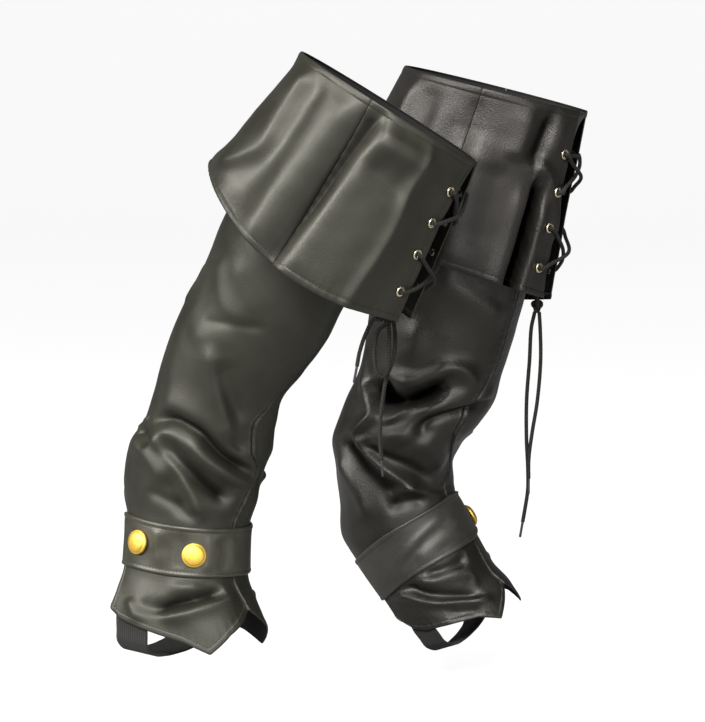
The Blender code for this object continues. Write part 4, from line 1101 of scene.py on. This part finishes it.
def buildShaftPanel(cover, hand):
    label = "Outer" if hand > 0 else "Inner"
    shares = spread(shaftSewing["panelWidth"], (True, True), cloth["grid"]) / shaftSewing["panelWidth"]
    steps = spread(shaftSewing["panelLength"], (False, True), cloth["grid"]) / shaftSewing["panelLength"]
    share, step = np.meshgrid(shares, steps)
    down = hemDown(cover, share) * step
    around = panelAngle(cover, hand, share, down)
    height = shaftHeight(cover, hand, around, down, share)
    base = shaftBase(cover, around, down)
    normal = shaftNormal(cover, around, down)
    wall = cloth["shaftWall"] / 2
    top = base + normal * (height + wall)[..., None]
    bottom = base + normal * (height + wall - shaftSewing["skin"])[..., None]
    flat = np.stack([np.radians(around) * cloth["flatRadius"], down], -1)
    name = cover["name"] + "Shaft" + label
    flip = hand * cover["side"] < 0
    addPiece(name, shell(name, top, bottom, flat, flip, 0, creaseShadeAmount(height)), leatherOf(cover, "shaft"),
             ["%s_shaft_%s" % (cover["name"], label.lower())], "clothBacking")
    stitchLine(name + "HemStitches", [(top[-9, 3:-3], normal[-9, 3:-3]), (top[:, 4], normal[:, 4])])


for cover in (rightCover, leftCover):
    for hand in (1, -1):
        buildShaftPanel(cover, hand)
print("shafts built")

cuffSewing = {
    "seam": 92.0, "frontWidth": 115.0, "backWidth": 300.0, "skin": 1.3,
    "topFold": 6.5, "hemFold": 5.9, "stitchIn": 0.6, "flapFold": 6.5, "flapStitch": 5.8, "flapRise": 0.8,
    "swell": 0.5, "calm": 16.0, "seamSink": 0.5, "seamWidth": 1.2,
    "pucker": 0.25, "puckerPitch": 10.0, "hemPucker": 0.22, "hemPitch": 8.0,
    "frontGrid": 0.7, "facing": 30,  # a finer grid for the flaps, and how many columns their facings take
}


def cuffAngle(cover, across, share, part):
    trim = math.degrees(cloth["seamGap"] / 2 / (cloth["cuffRadius"] * 0.9))
    edge = cuffEdge(cover, share)
    span = cuffSewing["seam"] - trim - edge
    if part == "outer":
        return edge + span * across
    if part == "inner":
        return -(edge + span * across)
    return cuffSewing["seam"] + trim + (360 - 2 * cuffSewing["seam"] - 2 * trim) * across


def cuffHeight(cover, part, around, share, frontGap, backGap):
    down = share * cloth["cuffDepth"]
    folds = foldHeight(cuffFolds[cover["name"]], np.where(around > 180, around - 360, around), down)
    folds += foldHeight(cuffFolds[cover["name"]], around, down) * (around > 180)
    flat = np.radians(around) * cloth["cuffRadius"]
    calm = smoothStep(backGap / cuffSewing["calm"])
    if part == "back":
        calm *= smoothStep(frontGap / cuffSewing["calm"])
    height = folds + calm * waviness(flat, down, cover["seeds"]["cuff"], cuffSewing["swell"])
    height *= np.minimum(1.0, down / cloth["bandFade"])
    height += hemProfile(down, cuffSewing["topFold"], cuffSewing["topFold"] - cuffSewing["stitchIn"])
    hemGap = cloth["cuffDepth"] - down
    height += hemProfile(hemGap, cuffSewing["hemFold"], cuffSewing["hemFold"] - cuffSewing["stitchIn"])
    if part != "back":
        fold = hemProfile(frontGap, cuffSewing["flapFold"], cuffSewing["flapStitch"])
        height += cuffSewing["flapRise"] * fold
    else:
        height -= cuffSewing["seamSink"] * np.exp(-(frontGap / cuffSewing["seamWidth"]) ** 2)
    height -= cuffSewing["seamSink"] * np.exp(-(backGap / cuffSewing["seamWidth"]) ** 2)
    height += cuffSewing["pucker"] * puckers(down, 3, cuffSewing["puckerPitch"]) * np.exp(-backGap / 7)
    height += cuffSewing["hemPucker"] * puckers(flat, 13, cuffSewing["hemPitch"]) * np.exp(-hemGap / 8)
    return height


def buildCuffPanel(cover, part):
    back = part == "back"
    width = cuffSewing["backWidth"] if back else cuffSewing["frontWidth"]
    across = spread(width, (True, True), cloth["grid"] * (1.0 if back else cuffSewing["frontGrid"])) / width
    downs = spread(cloth["cuffDepth"], (True, True), cloth["grid"]) / cloth["cuffDepth"]
    share = np.repeat(downs[:, None], len(across), 1)
    side = np.repeat(across[None, :], len(downs), 0)
    around = cuffAngle(cover, side, share, part)
    height = cuffHeight(cover, part, around, share, side * width, (1 - side) * width)
    base = cuffBase(cover, around, share)
    normal = cuffNormal(cover, around, share)
    wall = cloth["cuffWall"] / 2
    top = base + normal * (height + wall)[..., None]
    bottom = base + normal * (height + wall - cuffSewing["skin"])[..., None]
    flat = np.stack([np.radians(around) * cloth["cuffRadius"], share * cloth["cuffDepth"]], -1)
    name = cover["name"] + "Cuff" + part.title()
    flip = cover["side"] < 0 if part != "inner" else cover["side"] > 0
    facing = 0 if back else cuffSewing["facing"]
    addPiece(name, shell(name, top, bottom, flat, flip, facing, creaseShadeAmount(height)), leatherOf(cover, "cuff"),
             ["%s_cuff_%s" % (cover["name"], part)], "clothBacking")
    lines = [(top[8, 3:-3], normal[8, 3:-3]), (top[-8, 3:-3], normal[-8, 3:-3])]
    if not back:
        lines.append((top[10:-10, 8], normal[10:-10, 8]))
    stitchLine(name + "Stitches", lines)


for cover in (rightCover, leftCover):
    for part in ("outer", "inner", "back"):
        buildCuffPanel(cover, part)
print("cuffs built")

strapFolds = {
    "right": (
        (1.3, 6, 1.6, 0.1, ((92, 420), (90, 440), (84, 460))),
        (-0.9, 5, 1.4, 0.1, ((74, 424), (71, 440), (70, 458))),
        (1.2, 5, 1.5, 0.1, ((44, 422), (43, 440), (45, 462))),
        (-0.9, 4, 1.4, 0.2, ((31, 424), (29, 442), (32, 460))),
        (1.0, 5, 1.5, 0.2, ((20, 424), (17, 442), (18, 460))),
        (1.0, 7, 1.4, 0.1, ((-30, 430), (-50, 442), (-80, 448))),
    ),
    "left": (
        (1.8, 4, 1.8, 0.3, ((-96, 462), (-60, 447), (-24, 436))),
        (-1.2, 4, 1.4, 0.3, ((-90, 471), (-60, 456), (-20, 446))),
        (1.6, 5, 1.6, 0.2, ((-74, 468), (-42, 461), (-10, 462))),
        (-0.9, 4, 1.4, 0.2, ((-50, 472), (-30, 471), (-10, 476))),
        (1.0, 6, 1.5, 0.1, ((30, 440), (60, 452), (90, 462))),
    ),
}
strapLift = cloth["shaftWall"] / 2 + cloth["strapWall"] / 2 + 2 * cloth["seatGap"]
strapSewing = {"fold": 4.6, "stitch": 4.0, "width": 44.0, "halfRun": 140.0, "grid": (2.0, 1.8),
               "swell": 0.35, "edgeFade": 8.0, "lowest": -0.6}


def buildStrap(cover):
    name = cover["name"]
    steps = spread(strapSewing["width"], (True, True), strapSewing["grid"][1]) / strapSewing["width"]
    run = np.linspace(-1, 1, 2 * round(strapSewing["halfRun"] / strapSewing["grid"][0]) + 1)
    run, step = np.meshgrid(run, steps)
    hand = np.where(run >= 0, 1, -1)
    share = np.abs(run)
    upper = strapEdge(cover, "upper", share)
    lower = strapEdge(cover, "lower", share)
    down = upper + (lower - upper) * step
    around = panelAngle(cover, hand, share, down)
    height = foldHeight(strapFolds[name], around, down)
    flat = np.radians(around) * cloth["flatRadius"]
    height += waviness(flat, down, cover["seeds"]["strap"], strapSewing["swell"])
    height *= np.minimum(1, np.minimum(down - upper, lower - down) / strapSewing["edgeFade"])
    for gap in (down - upper, lower - down):
        height += hemProfile(gap, strapSewing["fold"], strapSewing["stitch"])
    height = np.maximum(height, strapSewing["lowest"])
    base = shaftBase(cover, around, down)
    normal = shaftNormal(cover, around, down)
    wall = cloth["strapWall"] / 2
    top = base + normal * (height + strapLift + wall)[..., None]
    bottom = base + normal * (strapLift - wall)
    mesh = shell(name + "Strap", top, bottom, np.stack([flat, down], -1), cover["side"] < 0)
    addPiece(name + "Strap", mesh, leatherOf(cover, "strap"), [name + "_strap"])
    stitchLine(name + "StrapStitches", [(top[row, 1:-1], normal[row, 1:-1]) for row in (5, -6)])


# the profile's places out are shares of the radius: a rolled rim, a fine groove and a low dome
buttonShape = {
    "diameter": 22.0, "sides": 72,
    "profile": ((0.0, 0.3), (0.72, 0.2), (0.93, 0.0), (1.0, 0.9), (1.0, 1.7), (0.98, 2.5), (0.93, 3.1),
                (0.90, 3.3), (0.88, 3.2), (0.86, 3.6), (0.82, 4.3), (0.72, 4.9), (0.56, 5.4), (0.36, 5.8),
                (0.18, 6.0), (0.0, 6.05)),
    "under": ((-12, -6, 0, 6, 12), (-11, -5, 0, 5, 11)),  # where the strap is felt for its highest place
}


def sewButtons(cover):
    profile = [(out * buttonShape["diameter"] / 2, height) for out, height in buttonShape["profile"]]
    face = strapLift + cloth["strapWall"] / 2
    for number, (around, down) in enumerate(cover["buttons"], 1):
        normal = shaftNormal(cover, around, down)
        middle = shaftPlace(cover, around, down, face)
        spots = [shaftPlace(cover, around + a, down + d, face)
                 for a in buttonShape["under"][0] for d in buttonShape["under"][1]]
        rise = max(float((spot - middle) @ normal) for spot in spots)
        name = "%sButton%d" % (cover["name"], number)
        place = middle + normal * (rise + cloth["seatGap"])
        addPiece(name, lathe(name, profile, buttonShape["sides"], place, normal), "domedGold",
                 ["%s_button_%d" % (cover["name"], number)])


eyeletShape = {"hole": 5.0, "barrel": 6.3, "flange": 9.5, "sides": 40}


def setEyelets(cover):
    hole, barrel, flange = (eyeletShape[key] / 2 for key in ("hole", "barrel", "flange"))
    face = cloth["cuffWall"] / 2 + 0.25
    profile = ((hole, -1.5), (barrel, -1.6), (barrel, face), (flange - 0.2, face), (flange, face + 0.25),
               (flange - 0.15, face + 0.65), (flange - 0.6, face + 1.0), (flange - 1.2, face + 1.1),
               (hole + 0.55, face + 0.95), (hole + 0.15, face + 0.6), (hole, face + 0.1))
    for part, hand in (("outer", 1), ("inner", -1)):
        for number, share in enumerate(lacing["rows"], 1):
            point, normal = eyeletSeat(cover, hand, share)
            name = "%sEyelet%s%d" % (cover["name"], part.title(), number)
            addPiece(name, lathe(name, profile, eyeletShape["sides"], point, normal), "paleGold",
                     ["%s_eyelet_%s_%d" % (cover["name"], part, number)])


for cover in (rightCover, leftCover):
    buildStrap(cover)
    sewButtons(cover)
    setEyelets(cover)
print("straps, buttons and eyelets set")

# share is where round the hem each end is sewn in; the arch's rows are (share across, share of the drop)
stirrupCut = {"width": 24.0, "drop": 30.0, "share": 0.86, "overlap": 12.0, "setIn": 0.8, "legs": (9.0, 18.0),
              "grid": 2.0, "columns": 14,
              "arch": ((0.1, 0.72), (0.3, 1.0), (0.5, 1.05), (0.7, 1.0), (0.9, 0.72))}


def buildStirrup(cover):
    cut = stirrupCut
    inset = cloth["shaftWall"] / 2 + cloth["seatGap"] + cloth["stirrupWall"] / 2 + cut["setIn"]
    hem = float(hemDown(cover, cut["share"]))
    sides = []
    falls = []
    for hand in (1, -1):
        turn = math.degrees(cut["width"] / 2 / cloth["flatRadius"]) * hand
        rows = []
        for down in (hem - cut["overlap"], hem - cut["overlap"] / 2, hem):
            around = float(panelAngle(cover, hand, cut["share"], down))
            rows.append([shaftPlace(cover, around + way * turn, down, -inset) for way in (1, -1)])
        fall = unit(rows[-1][0] + rows[-1][1] - rows[0][0] - rows[0][1])
        rows += [[point + fall * step for point in rows[2]] for step in cut["legs"]]
        sides.append(rows)
        falls.append(fall)
    outer, inner = sides
    fall = (falls[0] + falls[1]) / 2 * (cut["drop"] - cut["legs"][-1])
    under = [[a * (1 - share) + b * share + fall * drop for a, b in zip(outer[-1], inner[-1])]
             for share, drop in cut["arch"]]
    rows = outer + under + inner[::-1]
    edges = [smoothRoute([row[k] for row in rows], cut["grid"]) for k in (0, 1)]
    count = min(len(edge) for edge in edges)
    picks = [edge[np.linspace(0, len(edge) - 1, count).round().astype(int)] for edge in edges]
    across = np.linspace(0, 1, cut["columns"])
    middle = picks[0][:, None] * (1 - across)[None, :, None] + picks[1][:, None] * across[None, :, None]
    run = np.gradient(middle, axis=0)
    wide = (picks[1] - picks[0])[:, None]
    normal = unit(np.cross(run, wide))
    flat = np.stack(np.broadcast_arrays(across[None] * cut["width"],
                                        np.arange(count)[:, None] * cut["grid"]), -1)
    name = cover["name"] + "Stirrup"
    top = middle + normal * cloth["stirrupWall"] / 2
    bottom = middle - normal * cloth["stirrupWall"] / 2
    addPiece(name, shell(name, top, bottom, flat, True), "elasticWeave",
             [cover["name"] + "_stirrup"])


for cover in (rightCover, leftCover):
    buildStirrup(cover)
print("stirrups built")

# the cut of each piece of cloth, in metres and square metres, with its seams and hems left off
cuts = {
    "ShaftOuter": {"right": (0.270, 0.570, 0.098), "left": (0.280, 0.570, 0.105), "held": "hung"},
    "ShaftInner": {"right": (0.270, 0.550, 0.099), "left": (0.252, 0.590, 0.102), "held": "hung"},
    "CuffOuter": {"right": (0.140, 0.167, 0.0215), "left": (0.134, 0.200, 0.0235), "held": "folded"},
    "CuffInner": {"right": (0.136, 0.161, 0.0195), "left": (0.150, 0.182, 0.0228), "held": "folded"},
    "CuffBack": {"right": (0.333, 0.162, 0.0435), "left": (0.330, 0.200, 0.0528), "held": "folded"},
    "Strap": {"right": (0.046, 0.280, 0.0121), "left": (0.054, 0.300, 0.0128), "held": "laid"},
    "Stirrup": {"right": (0.035, 0.173, 0.0059), "left": (0.024, 0.169, 0.0040), "held": "stretched"},
}


def declareCloth(cover):
    name = cover["name"]
    for part, cut in cuts.items():
        sewn = [name + part + kind for kind in ("Stitches", "HemStitches")
                if name + part + kind in bpy.data.objects]
        if part in ("CuffOuter", "CuffInner"):
            sewn += ["%sEyelet%s%d" % (name, part[4:], number) for number in range(1, 5)]
        if part == "Strap":
            sewn += ["%sButton%d" % (name, number) for number in range(1, 3)]


for cover in (rightCover, leftCover):
    declareCloth(cover)

studio = {"floorZ": -552, "front": -7000, "back": 5200, "curve": 2600, "top": 7000, "halfWidth": 9000,
          "steps": 24, "paper": ((0.12, 0.12, 0.12), (0.13, 0.13, 0.13)),
          # bright to the camera, duller in what the leather reflects, so that the dark side stays dark
          "cameraGlow": 0.90, "rimGlow": 0.12, "bounce": 0.20, "worldLight": 0.06}
white = (1, 1, 1, 1)


def layFloor():
    # a pale sheet that lies under the covers and curves up far behind them
    profile = [(studio["front"], studio["floorZ"])]
    for step in range(studio["steps"] + 1):
        turn = math.pi / 2 * step / studio["steps"]
        profile.append((studio["back"] + studio["curve"] * math.sin(turn),
                        studio["floorZ"] + studio["curve"] * (1 - math.cos(turn))))
    profile.append((studio["back"] + studio["curve"], studio["top"]))
    points = [(x, y, z) for y, z in profile for x in (-studio["halfWidth"], studio["halfWidth"])]
    faces = [(2 * i, 2 * i + 1, 2 * i + 3, 2 * i + 2) for i in range(len(profile) - 1)]
    floor = bpy.data.objects.new("floor", meshFrom("floor", points, faces))
    bpy.context.scene.collection.objects.link(floor)
    tree, shader = newMaterial("palePaper")
    shader.inputs["Roughness"].default_value = 0.95
    noise = addNode(tree, "ShaderNodeTexNoise", [("Scale", 2.0)],
                    [("Vector", addNode(tree, "ShaderNodeTexCoord").outputs["Object"])])
    tree.links.new(mixColour(tree, noise.outputs["Fac"], *studio["paper"]), shader.inputs["Base Color"])
    rays = addNode(tree, "ShaderNodeLightPath").outputs
    dull = addNode(tree, "ShaderNodeBsdfDiffuse", [("Color", (studio["bounce"],) * 3 + (1,))])
    lit = []
    for paper, ray, glow in ((dull, "Is Glossy Ray", "rimGlow"), (shader, "Is Camera Ray", "cameraGlow")):
        strength = mathNode(tree, "MULTIPLY", rays[ray], studio[glow])
        light = addNode(tree, "ShaderNodeEmission", [("Color", white)], [("Strength", strength)])
        lit.append(addNode(tree, "ShaderNodeAddShader", links=[(0, paper.outputs[0]), (1, light.outputs[0])]))
    pick = addNode(tree, "ShaderNodeMixShader", links=[
        ("Fac", rays["Is Camera Ray"]), (1, lit[0].outputs[0]), (2, lit[1].outputs[0])])
    tree.links.new(pick.outputs[0], tree.nodes["Material Output"].inputs["Surface"])
    floor.data.materials.append(materials["palePaper"])


layFloor()

lamps = (
    # name, place, width, height, power
    ("keyFront", (-0.55, -2.7, 1.5), 2.0, 1.0, 165.0),
    ("sideLeft", (-2.7, -1.2, 1.2), 1.4, 1.6, 150.0),
    ("overhead", (0.1, -0.6, 2.3), 1.4, 1.0, 55.0),
    ("frontFill", (0.5, -3.0, 0.0), 0.9, 0.9, 22.0),
    ("fillRight", (2.0, -2.2, -0.1), 1.0, 1.4, 16.0),
)
for name, place, width, height, power in lamps:
    lamp = bpy.data.lights.new(name, "AREA")
    lamp.shape = "RECTANGLE"
    lamp.size = width
    lamp.size_y = height
    lamp.energy = power
    light = bpy.data.objects.new(name, lamp)
    light.location = place
    light.rotation_euler = (Vector(view["target"]) - Vector(place)).to_track_quat("-Z", "Y").to_euler()
    bpy.context.scene.collection.objects.link(light)

world = bpy.data.worlds.new("studio")
world.use_nodes = True
background = world.node_tree.nodes["Background"]
background.inputs["Color"].default_value = white
seen = addNode(world.node_tree, "ShaderNodeLightPath").outputs["Is Camera Ray"]
world.node_tree.links.new(ramp(world.node_tree, seen, 0, 1, studio["worldLight"], 1.0),
                          background.inputs["Strength"])
bpy.context.scene.world = world
bpy.context.scene.view_settings.view_transform = "Standard"
print("floor and light ready")
